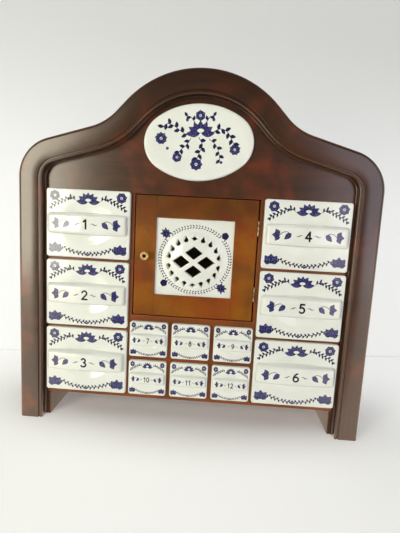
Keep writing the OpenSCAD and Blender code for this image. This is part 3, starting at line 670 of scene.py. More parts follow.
def moulding_path(m):
    """Corner points and arc centres of the moulding's outer edge, for the right side, as complex
    numbers, and the two directions from the centres at its corners."""
    crown_c = complex(0, TOP_Z - m.crown_r)
    out = at(90 - math.degrees(m.crown_slope))
    down = out * -1j
    out_2 = at(90 - math.degrees(m.shoulder_slope))
    down_2 = out_2 * -1j
    run_top = crown_c + m.crown_r * out
    run_end = run_top + m.crown_run * down
    sweep_c = run_end + m.sweep_r * out
    slope_top = sweep_c - m.sweep_r * out_2
    slope_len = (HALF_W - m.shoulder_r * (1 - out_2.real) - slope_top.real) / down_2.real
    slope_end = slope_top + slope_len * down_2
    shoulder_c = slope_end - m.shoulder_r * out_2
    return {"crown_c": crown_c, "run_top": run_top, "run_end": run_end, "sweep_c": sweep_c,
            "slope_top": slope_top, "slope_end": slope_end, "shoulder_c": shoulder_c,
            "out": out, "out_2": out_2}


def swept(m, start, inward, steps):
    """Sweeps the section from start along lines and arcs and returns the mesh, closed at both
    ends. Also sets grain coordinates: the distance along the path, in from the edge, and up."""
    bm = moulding_section(m)
    grain = bm.verts.layers.float_vector.new("grain")
    for v in bm.verts:
        v[grain] = (0, v.co.x, v.co.y)
        p = start + inward * v.co.x
        v.co = (p.real, FACE_Y - v.co.y, p.imag)
    ring = list(bm.verts) + list(bm.edges)
    ends = [list(bm.edges)]
    travelled = 0.0
    for kind, *given, pieces in steps:
        for _ in range(pieces):
            if kind == "line":
                stride = in_frame(given[0], 0) / pieces
                made = bmesh.ops.extrude_edge_only(bm, edges=of_kind(ring, BMEdge))["geom"]
                verts = of_kind(made, BMVert)
                ahead = set(verts)
                ring = verts + [e for e in of_kind(made, BMEdge) if ahead.issuperset(e.verts)]
                bmesh.ops.translate(bm, verts=verts, vec=stride)
                travelled += stride.length
            else:
                centre, radius, angle = given
                made = bmesh.ops.spin(
                    bm, geom=ring, cent=in_frame(centre, FACE_Y), axis=(0, -1, 0),
                    angle=angle / pieces, steps=1, use_duplicate=False, dvec=(0, 0, 0),
                    space=Matrix.Identity(4))["geom_last"]
                verts = of_kind(made, BMVert)
                ring = [g for g in made if not isinstance(g, BMFace)]
                travelled += abs(angle / pieces) * radius
            for v in verts:
                v[grain] = (travelled, v[grain][1], v[grain][2])
    ends.append(of_kind(ring, BMEdge))
    for edges in ends:
        bmesh.ops.edgeloop_fill(bm, edges=edges)
    return bm


def ridge(places, middle, reach):
    """A smooth hump of 1 at the middle."""
    return np.exp(-((places - middle) / reach) ** 2)


def moulding_piece(node, bm, mirrored, start, way):
    """Makes a swept mesh the piece of a node. Its grain runs on from start, measured from the
    crown's middle, and way is -1 where the sweep climbs towards the crown."""
    if mirrored:
        bmesh.ops.scale(bm, vec=(-1, 1, 1), verts=bm.verts)
    mesh = to_mesh(bm, node + "_wood", 38)
    m = settings().moulding
    grain = vectors_of(mesh, "grain")
    along, inward, up = grain.T
    bead_u, bead_reach = m.width - m.cove_r - m.bead_r, 1.1 * MM
    corner_u, corner_reach = 1.2 * MM, 1.2 * MM
    # The worn colour along the bead's crest and on the rounded outer edge is partly lacquer wear and
    # partly a painted highlight where these catch the light
    bead_wear_and_highlight = 0.25 * ridge(inward, bead_u, bead_reach) * (up > 0.85 * m.thickness)
    edge_wear_and_highlight = 0.08 * ridge(inward, corner_u, corner_reach) * (up > 0.8 * m.thickness)
    set_attribute(mesh, "wear", bead_wear_and_highlight + edge_wear_and_highlight)
    grain[:, 0] = (start + way * along) * (-1 if mirrored else 1)
    apart_from_boards = np.array([1.41, 0.497, 0.253])
    set_attribute(mesh, "grain", grain + apart_from_boards, "FLOAT_VECTOR")
    place_piece(mesh, wood("carcass"), node)


class CABINET_OT_boards(Operator):
    """Lays the boards of the carcass, the panel under the crown, the back and the catch block"""
    bl_idname = "spice_cabinet.boards"
    bl_label = "Carcass boards"

    def execute(self, context):
        for number, (node, axis) in enumerate(CARCASS_BOARDS.items()):
            finish = "rubbed" if node in OUTER_BOARDS else "boards"
            if node == "header_panel":
                finish = "carcass"
            softened_board(node, axis, number, finish, 0.6 * MM)
        for number, (node, axis) in enumerate(PLAIN_BOARDS.items()):
            softened_board(node, axis, number, "plain", 0.4 * MM)
        return {"FINISHED"}


class CABINET_OT_moulding(Operator):
    """Runs the moulding up the posts, over the shoulders and round the crown"""
    bl_idname = "spice_cabinet.moulding"
    bl_label = "Moulding"

    def execute(self, context):
        m = settings().moulding
        p = moulding_path(m)
        slope = p["slope_end"] - p["slope_top"]
        foot = complex(HALF_W, 0)
        rise = complex(0, p["shoulder_c"].imag)
        turned = m.shoulder_slope - math.pi / 2
        crown_half = m.crown_r * m.crown_slope + m.crown_run
        shoulder = m.sweep_r * (m.crown_slope - m.shoulder_slope) + abs(slope) - m.shoulder_r * turned
        for side, mirrored in (("left", True), ("right", False)):
            bm = swept(m, foot, -1, [("line", rise, 6)])
            moulding_piece(side + "_post", bm, mirrored, crown_half + shoulder + rise.imag, -1)
            bm = swept(m, p["run_end"], -p["out"], [
                ("arc", p["sweep_c"], m.sweep_r, m.crown_slope - m.shoulder_slope, 14),
                ("line", slope, 4),
                ("arc", p["shoulder_c"], m.shoulder_r, turned, 28)])
            moulding_piece(side + "_shoulder_moulding", bm, mirrored, crown_half, 1)
        run = p["run_end"] - p["run_top"]
        left_end = complex(-p["run_end"].real, p["run_end"].imag)
        left_in = complex(p["out"].real, -p["out"].imag)
        bm = swept(m, left_end, left_in, [
            ("line", complex(run.real, -run.imag), 2),
            ("arc", p["crown_c"], m.crown_r, -2 * m.crown_slope, 48),
            ("line", run, 2)])
        moulding_piece("crown_moulding", bm, False, -crown_half, 1)
        return {"FINISHED"}


class CABINET_OT_door_frame(Operator):
    """Makes the door's stiles, rails and the strips that hold the tile"""
    bl_idname = "spice_cabinet.door_frame"
    bl_label = "Door frame"

    def execute(self, context):
        for number, (node, axis) in enumerate(DOOR_BOARDS.items()):
            softened_board(node, axis, number + 20, "door", 0.5 * MM)
        return {"FINISHED"}


# ---------------------------------------------------------------- painting

# In millimetres: the distance from paint where there is none, and how far an edge fades each way
FAR = 99.0
SOFT = 0.9


def smooth_curve(points, pieces=8):
    """A smooth curve through complex points."""
    p = [2 * points[0] - points[1], *points, 2 * points[-1] - points[-2]]
    path = []
    for a, b, c, d in zip(p, p[1:], p[2:], p[3:]):
        for k in range(pieces):
            t = k / pieces
            path.append(0.5 * (2 * b + (c - a) * t + (2 * a - 5 * b + 4 * c - d) * t * t
                               + (3 * b - a - 3 * c + d) * t ** 3))
    return path + [points[-1]]


def arc_points(centre, wide, high, start, end, pieces=14):
    """Points of an oval arc between two angles in degrees."""
    angles = [math.radians(start + (end - start) * k / pieces) for k in range(pieces + 1)]
    return [centre + complex(wide * math.cos(a), high * math.sin(a)) for a in angles]


def numeral(digit):
    """Strokes of a plain numeral one unit tall, as lists of complex points."""
    c = complex
    return {
        "0": [arc_points(c(0.3, 0.5), 0.26, 0.46, 0, 360, 24)],
        "1": [[c(0.1, 0.78), c(0.34, 0.96), c(0.34, 0.04)]],
        "2": [arc_points(c(0.3, 0.7), 0.25, 0.26, 165, -30) + [c(0.04, 0.04), c(0.58, 0.04)]],
        "3": [arc_points(c(0.28, 0.74), 0.22, 0.22, 150, -80),
              arc_points(c(0.28, 0.28), 0.27, 0.24, 80, -150)],
        "4": [[c(0.43, 0.02), c(0.43, 0.96), c(0.02, 0.3), c(0.6, 0.3)]],
        "5": [[c(0.52, 0.95), c(0.13, 0.95), c(0.09, 0.56)]
              + arc_points(c(0.28, 0.33), 0.27, 0.29, 125, -145)],
        "6": [arc_points(c(0.3, 0.3), 0.26, 0.26, 0, 360, 20),
              arc_points(c(0.6, 0.34), 0.56, 0.62, 108, 180)],
        "7": [[c(0.03, 0.95), c(0.56, 0.95), c(0.22, 0.03)]],
        "8": [arc_points(c(0.3, 0.74), 0.21, 0.21, 0, 360, 20),
              arc_points(c(0.3, 0.28), 0.26, 0.25, 0, 360, 20)],
        "9": [arc_points(c(0.3, 0.7), 0.26, 0.26, 0, 360, 20),
              arc_points(c(0, 0.66), 0.56, 0.62, -72, 0)],
    }[digit]


class Brush:
    """Paints on the points of one piece, given as complex numbers in the design's millimetres.
    Each layer keeps the distance from the edge of what is painted, below zero inside it."""

    def __init__(self, points, scale, hair):
        self.points = points
        self.scale = scale
        self.hair = hair
        self.layers = {name: np.full(len(points), FAR) for name in ("wash", "line", "ink")}

    def near(self, centre, reach):
        p = self.points - centre
        return np.nonzero((np.abs(p.real) < reach) & (np.abs(p.imag) < reach))[0]

    def put(self, layer, index, distance):
        kept = self.layers[layer]
        kept[index] = np.minimum(kept[index], distance)

    def leaf(self, base, tip, width, outline=False, fullness=0.8, layer="wash"):
        axis = tip - base
        size = abs(axis)
        i = self.near(0.5 * (base + tip), 0.6 * size + width + 2)
        rel = (self.points[i] - base) / axis
        t = np.clip(rel.real, 0, 1)
        d = np.abs(rel - t) * size - 0.5 * width * np.sin(np.pi * t ** fullness)
        self.put(layer, i, d)
        if outline:
            self.put("line", i, np.abs(d) - 0.5 * self.hair)

    def fan(self, root, width, leaves, inner=0.0, fullness=0.8):
        """Outlined leaves about a root, each given as its angle and length."""
        for angle, size in leaves:
            self.leaf(root + inner * at(angle), root + size * at(angle), width, True, fullness)

    def dot(self, centre, radius, layer="wash"):
        i = self.near(centre, radius + 2)
        self.put(layer, i, np.abs(self.points[i] - centre) - radius)

    def clear(self, centre, wide, high):
        """Leaves an oval of bare glaze."""
        i = self.near(centre, max(wide, high) + 2)
        p = self.points[i] - centre
        d = (np.hypot(p.real / wide, p.imag / high) - 1) * min(wide, high)
        for layer in ("wash", "line"):
            self.layers[layer][i] = np.maximum(self.layers[layer][i], -d)

    def stroke(self, path, width=None, layer="line", taper=0.0):
        width = max(width or self.hair, self.hair)
        count = len(path) - 1
        for k, (a, b) in enumerate(zip(path, path[1:])):
            i = self.near(0.5 * (a + b), 0.5 * abs(b - a) + width + 2)
            p = self.points[i]
            axis = b - a
            t = np.clip(((p - a) * np.conj(axis)).real / max(abs(axis) ** 2, 1e-9), 0, 1)
            w = width * (1 - taper * abs(2 * (k + 0.5) / count - 1))
            self.put(layer, i, np.abs(p - a - t * axis) - 0.5 * w)

    def flower(self, centre, radius, petals, turn=0.0, heart=0.24, layer="wash"):
        width = 1.8 * radius * math.sin(math.pi / petals)
        for k in range(petals):
            u = at(turn + 360 * k / petals)
            self.leaf(centre + 0.2 * radius * u, centre + radius * u, width, True, 1.15, layer)
        if heart:
            self.clear(centre, heart * radius, heart * radius)
            self.dot(centre, 0.5 * heart * radius, "line")
        else:
            self.dot(centre, 0.5 * radius, layer)

    def vine(self, points, gap, size, width, side):
        """A stem with a leaf every gap, first to one side and then to the other."""
        path = smooth_curve(points)
        self.stroke(path)
        spread = 52
        travelled = 0.0
        due = gap * 0.6
        for a, b in zip(path, path[1:]):
            travelled += abs(b - a)
            if travelled >= due:
                u = (b - a) / abs(b - a)
                self.leaf(b, b + size * u * at(side * spread), width, layer="line")
                side = -side
                due += gap

    def write(self, text, centre, height, weight):
        """Plain numerals, centred."""
        pitch = 0.72
        left = centre - complex(0.5 * height * (pitch * len(text) - 0.12), 0.5 * height)
        for k, digit in enumerate(text):
            for stroke in numeral(digit):
                self.stroke([left + height * (z + k * pitch) for z in stroke], weight * height, "ink")

    def values(self, shown):
        """The three layers as one vector for each point, 0.5 at the edge of the paint, and none
        where it isn't shown."""
        out = np.zeros((len(self.points), 3))
        for k, name in enumerate(("wash", "line", "ink")):
            out[:, k] = np.clip(0.5 - self.layers[name] * self.scale / (2 * SOFT), 0, 1)
        out[~shown] = 0
        return out


def spots(side, *pairs):
    """Complex points from pairs of X and Z, mirrored where side is -1."""
    return [complex(side * x, z) for x, z in pairs]


def paint_front(brush, text):
    """Own flower design of a drawer front 100 wide and 80 high, with a numeral on the grip."""
    root = 24.5j
    brush.fan(root, 5.2, ((90, 12), (62, 12.5), (118, 12.5), (34, 13.2), (146, 13.2), (8, 14),
                          (172, 14)), 1.5, 0.9)
    brush.clear(root + 3.4j, 3.4, 1.8)
    for side in (-1, 1):
        brush.vine(spots(side, (15, 27.5), (21, 30.5), (27, 28), (33, 25), (38, 22.5), (44, 19)),
                   2.3, 4.6, 2.2, side)
        berry, blossom, bud, corner = spots(side, (45.2, 17.6), (39.5, 32), (33, 0), (39, -34))
        brush.dot(berry, 1.2)
        brush.flower(blossom, 6.3, 7, 12 * side)
        brush.vine(spots(side, (20, 1.5), (24, 4), (29, 3), (33, -1)), 30, 1, 1, side)
        brush.fan(bud, 5.2, [(90 + side * (angle - 90), 7.524) for angle in (60, 0, -60)])
        brush.leaf(*spots(side, (19.5, 2.5), (26.5, -4.5)), 5.4, True)
        brush.fan(corner, 6.4, ((90, 11.5), (52, 11.5), (128, 11.5)), 0, 1.1)
        brush.leaf(*spots(side, (37, -34), (30.5, -30.5)), 3.4, True)
        brush.leaf(*spots(side, (41, -34.5), (47, -31)), 3.4, True)
        brush.vine(spots(side, (32.5, -27), (25, -30.5), (16, -33.5), (8, -34.8), (2, -35)),
                   2.5, 3.9, 1.9, side)
    for x, z, radius in ((0, -34.2, 1.3), (-2.6, -36.2, 0.9), (2.6, -36.2, 0.9)):
        brush.dot(complex(x, z), radius)
    brush.write(text, 0j, 11, 0.19)
    edge = 6 + 4 * (len(text) - 1)
    for side in (-1, 1):
        wave = spots(side, *((edge + k, 0.9 * math.sin(0.8 * k)) for k in range(9)))
        brush.stroke(smooth_curve(wave), 1.1, "ink", 0.7)


def paint_tile(brush):
    """A wreath of small leaves round the dome, two open blossoms and two full ones in the corners."""
    opened = spots(1, (-34, 27.5), (33.8, -34))
    full = spots(1, (35.8, 28.2), (-35.2, -32))
    for corner in opened:
        facing = math.degrees(math.atan2(corner.imag, corner.real))
        brush.fan(corner, 2.9, [(facing + turn, 7.4 if abs(turn) < 50 else 5.6)
                                for turn in (0, 38, -38, 78, -78, 125, -125, 180)], 0.6)
    for turn, corner in zip((72, 108), full):
        brush.flower(corner, 4.3, 5, turn, 0.0, "line")
    middle = complex(1, -1.9)
    wide, high = 42.0, 39.6
    leaves = 76
    for k in range(leaves):
        out = at(360 * (k + 0.5) / leaves)
        p = middle + complex(wide * out.real, high * out.imag)
        if min(abs(p - corner) for corner in opened + full) < 5.5:
            continue
        for side, base, size, sway in ((1, 0.3, 3.6, 5 * math.sin(2.4 * k)),
                                       (-1, 0.6, 3.8, 6 * math.sin(1.7 * k))):
            way = side * out * at(side * (48 + sway))
            layer = "line" if (k + side) % 3 else "wash"
            brush.leaf(p + base * way, p + size * way, 1.4, layer=layer)


def paint_plaque(brush):
    """A loose spray of blossoms on curling stems."""
    root = complex(2, 9)
    brush.fan(root, 6.4, ((90, 15), (60, 15), (120, 15), (32, 15.5), (148, 15.5), (6, 16),
                          (174, 16)), 2, 0.9)
    brush.clear(root + 4.5j, 3.8, 2.2)
    for x, z, radius, petals, turn in ((2, 29.5, 5.6, 6, 30), (-43, 5, 6.8, 9, 10),
                                       (-3, -24, 7, 8, 0), (41, -8, 6.2, 8, 20),
                                       (-25, -16, 5.6, 6, 15)):
        brush.flower(complex(x, z), radius, petals, turn)
    for path, gap, size, width, first in (
            (((-4, 22), (-9, 28), (-14, 29)), 4.5, 5.6, 3.2, -1),
            (((8, 22), (13, 28), (18, 29)), 4.5, 5.6, 3.2, 1),
            (((-11, 8), (-19, 12), (-27, 18), (-35, 21), (-41, 17)), 4.4, 7, 4, 1),
            (((-9, 5), (-14, -2), (-20, -7), (-23, -11)), 4.4, 6.4, 3.7, -1),
            (((0, 6), (4, -2), (1, -10), (-2, -17)), 4.4, 6.8, 4, 1),
            (((15, 11), (24, 15), (32, 12), (37, 4), (40, -2)), 4.4, 7, 4, -1),
            (((12, 4), (19, -2), (23, -11), (24, -19)), 4.8, 6.4, 3.7, 1)):
        brush.vine(spots(1, *path), gap, size, width, first)
    for p in spots(1, (25.5, -22), (21.5, -21.5), (-36, -6), (-13, 25), (17, 25)):
        brush.dot(p, 1.7)


# ---------------------------------------------------------------- glazed pieces

def spaced(half, cell, bands):
    """Line places from -half to half, a cell apart, and closer in bands given as their middle,
    reach and share of a cell."""
    fine = np.linspace(-half, half, 4001)
    step = np.full(len(fine), cell)
    for middle, reach, share in bands:
        for m in (-middle, middle):
            step = np.where(np.abs(fine - m) < reach, cell * share, step)
    count = np.concatenate([[0], np.cumsum((fine[1] - fine[0]) / (0.5 * (step[1:] + step[:-1])))])
    pieces = 2 * int(math.ceil(count[-1] / 2))
    return np.interp(np.linspace(0, count[-1], pieces + 1), count, fine)


def gridded(xs, zs):
    """A flat bmesh grid with its lines at xs and zs, and its points' places as two arrays."""
    bm = bmesh.new()
    bmesh.ops.create_grid(bm, x_segments=len(xs) - 1, y_segments=len(zs) - 1, size=1)
    bm.verts.ensure_lookup_table()
    co = np.array([v.co[:2] for v in bm.verts])
    x = xs[np.rint((co[:, 0] + 1) / 2 * (len(xs) - 1)).astype(int)]
    z = zs[np.rint((co[:, 1] + 1) / 2 * (len(zs) - 1)).astype(int)]
    return bm, x, z


def set_points(verts, x, y, z):
    for v, a, b, c in zip(verts, x, y, z):
        v.co = (a, b, c)


def inside_distance(x, z, a, b, r):
    """How far inside a rectangle with half sides a and b and corner radius r each point lies."""
    qx = np.abs(x) - (a - r)
    qz = np.abs(z) - (b - r)
    return r - np.hypot(np.maximum(qx, 0), np.maximum(qz, 0)) - np.minimum(np.maximum(qx, qz), 0)


def rounding(inside, r):
    """How far a rounded edge falls at a distance inside it."""
    q = np.clip(inside, 0, r)
    return r - np.sqrt(np.maximum(r * r - (r - q) ** 2, 0))


def smooth_max(a, b, k):
    return 0.5 * (a + b + np.sqrt((a - b) ** 2 + k * k))


def round_corners(x, z, a, b, r):
    """Draws the grid's corner squares into quarter discs."""
    u = (np.abs(x) - (a - r)) / r
    v = (np.abs(z) - (b - r)) / r
    inner = (u > 0) & (v > 0)
    u2 = u * np.sqrt(np.maximum(1 - v * v / 2, 0))
    v2 = v * np.sqrt(np.maximum(1 - u * u / 2, 0))
    x = np.where(inner, np.sign(x) * (a - r + r * u2), x)
    z = np.where(inner, np.sign(z) * (b - r + r * v2), z)
    return x, z


def front_height(x, z, a, b, d):
    """How far a drawer's front stands proud of its plate at each point."""
    hollow_rim, lift, fillet, crown = 0.5 * MM, 0.03 * MM, 1.2 * MM, 0.25 * MM
    steep = 5
    hollow = d.hollow_d * (1 - (2 * x / d.hollow_w) ** 2 - (2 * z / d.hollow_h) ** 2)
    plate = lift - rounding(inside_distance(x, z, a, b, d.plate_r), d.edge_r)
    plate = plate - smooth_max(hollow, 0, hollow_rim)
    inside = inside_distance(x, z, d.grip_w / 2, d.grip_h / 2, 0.38 * d.grip_d)
    top = d.grip_d - d.grip_bow * (2 * x / d.grip_w) ** 2 - crown * (2 * z / d.grip_h) ** 2
    grip = top - rounding(inside, d.grip_r) - steep * np.maximum(-inside, 0)
    return np.minimum(smooth_max(plate, grip, fillet), d.grip_d)


def close_behind(bm, y):
    """Draws the open edge of a shell straight back to y and closes it with one face."""
    rim = [e for e in bm.edges if e.is_boundary]
    made = bmesh.ops.extrude_edge_only(bm, edges=rim)
    for v in of_kind(made["geom"], BMVert):
        v.co.y = y
    rim = [e for e in bm.edges if e.is_boundary]
    bmesh.ops.edgeloop_fill(bm, edges=rim)


def open_box(bm, low, high, wall):
    """An open-topped box with rounded edges."""
    made = bmesh.ops.create_cube(bm, size=1)
    size = high - low
    bmesh.ops.scale(bm, vec=size, verts=made["verts"])
    bmesh.ops.translate(bm, vec=(low + high) / 2, verts=made["verts"])
    faces = {f for v in made["verts"] for f in v.link_faces}
    top = max(faces, key=lambda f: f.calc_center_median().z)
    bmesh.ops.inset_individual(bm, faces=[top], thickness=wall, depth=0)
    deep = bmesh.ops.extrude_discrete_faces(bm, faces=[top])["faces"][0]
    bmesh.ops.translate(bm, vec=(0, 0, wall - size.z), verts=list(deep.verts))
    seen = set(made["verts"]) | set(deep.verts)
    grown = {v for w in seen for e in w.link_edges for v in e.verts}
    edges = {e for v in grown for e in v.link_edges if e.calc_face_angle(0) > 1}
    bevelled(bm, list(edges), 0.28 * wall, 3)


def drawer_mesh(d, node, name):
    """A drawer's front and box, built round its own middle, and half its width and height."""
    low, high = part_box(node)
    a = (high.x - low.x) / 2
    b = (high.z - low.z) / 2
    plate_y = low.y + d.grip_d
    back_y = plate_y + d.plate_t
    grip_edge = 0.8 * MM
    xs = spaced(a, d.cell, [(d.grip_w / 2 - grip_edge, 2.2 * MM, 0.6), (a, 2.4 * MM, 0.6)])
    zs = spaced(b, d.cell, [(d.grip_h / 2 - grip_edge, 2.4 * MM, 0.55), (b, 2.4 * MM, 0.6)])
    bm, x, z = gridded(xs, zs)
    x, z = round_corners(x, z, a, b, d.plate_r)
    set_points(bm.verts, x, plate_y - front_height(x, z, a, b, d), z)
    close_behind(bm, back_y)
    bmesh.ops.recalc_face_normals(bm, faces=bm.faces)

    under, above, sunk = 0.3 * MM, 2.3 * MM, 0.4 * MM
    box_x = a - d.lap_x - d.side_gap
    box = bmesh.new()
    open_box(box, Vector((-box_x, back_y - sunk, d.lap_z + under - b)),
             Vector((box_x, high.y, b - d.lap_z - above)), d.wall)
    bmesh.ops.recalc_face_normals(box, faces=box.faces)
    extra = bpy.data.meshes.new("box")
    box.to_mesh(extra)
    box.free()
    bm.from_mesh(extra)
    bpy.data.meshes.remove(extra)
    return to_mesh(bm, name, 48, recalculate=False), a, b


def place_glazed(mesh, node, brush, shown):
    """Makes the mesh a glazed piece with the brush's painting where it is shown."""
    set_attribute(mesh, "paint", brush.values(shown), "FLOAT_VECTOR")
    place_piece(mesh, glazed_ceramic(), node)


def lay_drawers(nodes, d, first_number):
    """Builds one drawer, then sets a copy of it at each node with its own numeral."""
    master, a, b = drawer_mesh(d, nodes[0], "drawer_master")
    design_w, design_h = 100, 80.3
    co = vectors_of(master)
    across = co[:, 0] / a * design_w / 2
    up = co[:, 2] / b * design_h / 2
    scale = 2 * a / (design_w * MM)
    front = co[:, 1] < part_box(nodes[0])[0].y + d.grip_d + d.hollow_d + 0.1 * MM
    for number, node in enumerate(nodes, first_number):
        low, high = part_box(node)
        brush = Brush(across + 1j * up, scale, max(0.75, d.cell / MM / scale))
        paint_front(brush, str(number))
        mesh = master.copy()
        mesh.name = node + "_ceramic"
        mesh.transform(Matrix.Translation(((low.x + high.x) / 2, 0, (low.z + high.z) / 2)))
        place_glazed(mesh, node, brush, front)
    bpy.data.meshes.remove(master)


class CABINET_OT_large_drawers(Operator):
    """Makes the six large glazed drawers"""
    bl_idname = "spice_cabinet.large_drawers"
    bl_label = "Large drawers"

    def execute(self, context):
        lay_drawers(LARGE_DRAWERS, settings().large, 1)
        return {"FINISHED"}


class CABINET_OT_small_drawers(Operator):
    """Makes the six small glazed drawers"""
    bl_idname = "spice_cabinet.small_drawers"
    bl_label = "Small drawers"

    def execute(self, context):
        lay_drawers(SMALL_DRAWERS, settings().small, 7)
        return {"FINISHED"}


def dome_middle(t):
    return complex(0, -t.dome_drop)


def dome_ball(t):
    """Radius of the ball that the dome is cut from."""
    return (t.dome_w ** 2 / 4 + t.dome_h ** 2) / (2 * t.dome_h)


def dome_height(p, t, inset=0.0):
    """How far the dome's ball, or one inset in it, stands proud of the tile at each point."""
    ball = dome_ball(t)
    fall = (ball - inset) ** 2 - np.abs(p - dome_middle(t)) ** 2
    return np.sqrt(np.maximum(fall, 0)) - (ball - t.dome_h)


def tile_height(p, t):
    """How far the tile's front stands proud, flat round the dome."""
    return smooth_max(dome_height(p, t), 0, 1.1 * MM)


def hole_distance(p, t):
    """Distance from the edge of the tile's openwork, below zero in a hole; p is complex, in
    metres."""
    nearest = np.full(len(p), 1.0)
    p = p - dome_middle(t)

    def diamond(centre, w, h):
        q = p - centre
        share = np.abs(q.real) / (w / 2) + np.abs(q.imag) / (h / 2) - 1
        return share * w * h / 4 / math.hypot(w / 2, h / 2)

    for s in (-1, 1):
        for centre in (complex(s * t.diamond_dx, 0), complex(0, s * t.diamond_dz)):
            nearest = np.minimum(nearest, diamond(centre, t.diamond_w, t.diamond_h))
        nearest = np.minimum(nearest, diamond(complex(0, s * t.small_dz), t.small_w, t.small_h))
        for u in (-1, 1):
            for k in range(1, 5):
                turn = k * t.drop_step
                middle = complex(s * t.ring_a * math.sin(turn), u * t.ring_b * math.cos(turn))
                lean = math.degrees(t.drop_lean) * math.sin(2 * turn)
                q = (p - middle) / at(90 * u - s * u * lean)
                along = np.clip(q.real / t.drop_tip, 0, 1)
                drop = np.abs(q - along * t.drop_tip) - t.drop_r * (1 - along)
                nearest = np.minimum(nearest, drop)
    return nearest


def to_hole_edge(p, t):
    """Moves points onto the nearest edge of the openwork."""
    h = 0.05 * MM
    for _ in range(4):
        d = hole_distance(p, t)
        gx = (hole_distance(p + h, t) - hole_distance(p - h, t)) / (2 * h)
        gz = (hole_distance(p + 1j * h, t) - hole_distance(p - 1j * h, t)) / (2 * h)
        p = p - d * (gx + 1j * gz) / np.maximum(gx * gx + gz * gz, 0.3)
    return p


def pierced_sheet(t, half):
    """A flat square grid at Y = 0 without the openwork, its rims drawn onto the holes' edges."""
    lines = spaced(half, t.cell, [])
    bm, x, z = gridded(lines, lines)
    set_points(bm.verts, x, np.zeros(len(x)), z)
    bm.faces.ensure_lookup_table()
    middles = np.array([f.calc_center_median() for f in bm.faces])
    lost = np.nonzero(hole_distance(middles[:, 0] + 1j * middles[:, 2], t) < 0)[0]
    bmesh.ops.delete(bm, geom=[bm.faces[k] for k in lost], context="FACES")
    open_verts = {v for e in bm.edges if e.is_boundary for v in e.verts}
    rim = [v for v in sorted(open_verts, key=lambda v: v.index)
           if max(abs(v.co.x), abs(v.co.z)) < 0.9 * half]
    moved = to_hole_edge(np.array([complex(v.co.x, v.co.z) for v in rim]), t)
    set_points(rim, moved.real, np.zeros(len(rim)), moved.imag)
    return bm


def dome_sheet(bm, t):
    """Makes a flat sheet the tile's domed front, and closes it with a second sheet behind."""
    front = list(bm.verts)
    p = np.array([complex(v.co.x, v.co.z) for v in front])
    proud = np.minimum(tile_height(p, t) - rounding(hole_distance(p, t), 0.5 * MM), t.dome_h)
    partner = bmesh.ops.duplicate(bm, geom=front + list(bm.edges) + list(bm.faces))["vert_map"]
    partner = {v: partner[v] for v in front}
    rel = p - dome_middle(t)
    fade = np.clip((t.dome_w / 2 - np.abs(rel)) / (4 * MM), 0, 1)
    inner = rel * (1 - t.dome_wall / dome_ball(t) * fade) + dome_middle(t)
    hollow = smooth_max(dome_height(inner, t, t.dome_wall), -t.thickness, 1 * MM)
    set_points(front, p.real, -proud, p.imag)
    set_points(partner.values(), inner.real, np.minimum(-hollow, t.thickness), inner.imag)
    for e in [e for e in bm.edges if e.is_boundary and all(v in partner for v in e.verts)]:
        u, v = e.verts
        bm.faces.new((u, v, partner[v], partner[u]))


class CABINET_OT_pierced_tile(Operator):
    """Makes the door's domed tile with its openwork and painting"""
    bl_idname = "spice_cabinet.pierced_tile"
    bl_label = "Pierced tile"

    def execute(self, context):
        t = settings().tile
        low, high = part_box("pierced_tile")
        bm = pierced_sheet(t, (high.x - low.x) / 2)
        dome_sheet(bm, t)
        mesh = to_mesh(bm, "pierced_tile_ceramic", 50)
        co = vectors_of(mesh)
        p = co[:, 0] + 1j * co[:, 2]
        brush = Brush(p / MM, 1.0, 0.75)
        paint_tile(brush)
        shown = co[:, 1] < 1.5 * MM - tile_height(p, t)
        centre = (low + high) / 2
        mesh.transform(Matrix.Translation((centre.x, high.y - t.thickness, centre.z)))
        place_glazed(mesh, "pierced_tile", brush, shown)
        return {"FINISHED"}


def oval_reach(angle, a, b):
    """Distance from the middle of the four-arc oval to its outline at each angle."""
    end_r = 1.15 * b * b / a
    drop = ((a - end_r) ** 2 - (b - end_r) ** 2) / (2 * (b - end_r))
    side_r = drop + b
    norm = math.hypot(a - end_r, drop)
    meet = math.atan2(side_r * drop / norm - drop, side_r * (a - end_r) / norm)
    c = np.abs(np.cos(angle))
    s = np.abs(np.sin(angle))

    def reach(cx, cz, r):
        along = c * cx + s * cz
        return along + np.sqrt(np.maximum(along ** 2 - cx * cx - cz * cz + r * r, 0))

    return np.where(np.arctan2(s, c) > meet, reach(0, -drop, side_r), reach(a - end_r, 0, end_r))


class CABINET_OT_oval_plaque(Operator):
    """Makes the oval plaque with its dish and painting"""
    bl_idname = "spice_cabinet.oval_plaque"
    bl_label = "Oval plaque"

    def execute(self, context):
        s = settings().plaque
        low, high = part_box("oval_plaque")
        a = s.width / 2
        b = s.height / 2
        bm, u, v = gridded(spaced(1, s.cell / a, [(1, 0.05, 0.6)]),
                           spaced(1, s.cell / b, [(1, 0.06, 0.6)]))
        disc = u * np.sqrt(1 - v * v / 2) + 1j * v * np.sqrt(1 - u * u / 2)
        share = np.abs(disc)
        angle = np.angle(disc)
        reach = oval_reach(angle, a, b)
        p = disc * reach
        inner = share * reach / oval_reach(angle, a - s.rim, b - s.rim)
        dish = smooth_max(s.dish_d * (1 - inner ** 2.2), 0, 0.7 * MM)
        lip = 0.93
        slope = 0.3 * MM * np.clip(share - lip, 0, 1) / (1 - lip)
        height = -rounding((1 - share) * reach, s.edge_r) - dish - slope
        set_points(bm.verts, p.real, low.y - (height - height.max()), p.imag)
        close_behind(bm, high.y)
        mesh = to_mesh(bm, "oval_plaque_ceramic", 50)
        co = vectors_of(mesh)
        brush = Brush((co[:, 0] + 1j * co[:, 2]) / MM, 1.0, 0.85)
        paint_plaque(brush)
        shown = co[:, 1] < high.y - 0.3 * MM
        centre = (low + high) / 2
        mesh.transform(Matrix.Translation((centre.x, 0, centre.z)) @ Matrix.Rotation(-s.turn, 4, "Y"))
        place_glazed(mesh, "oval_plaque", brush, shown)
        return {"FINISHED"}


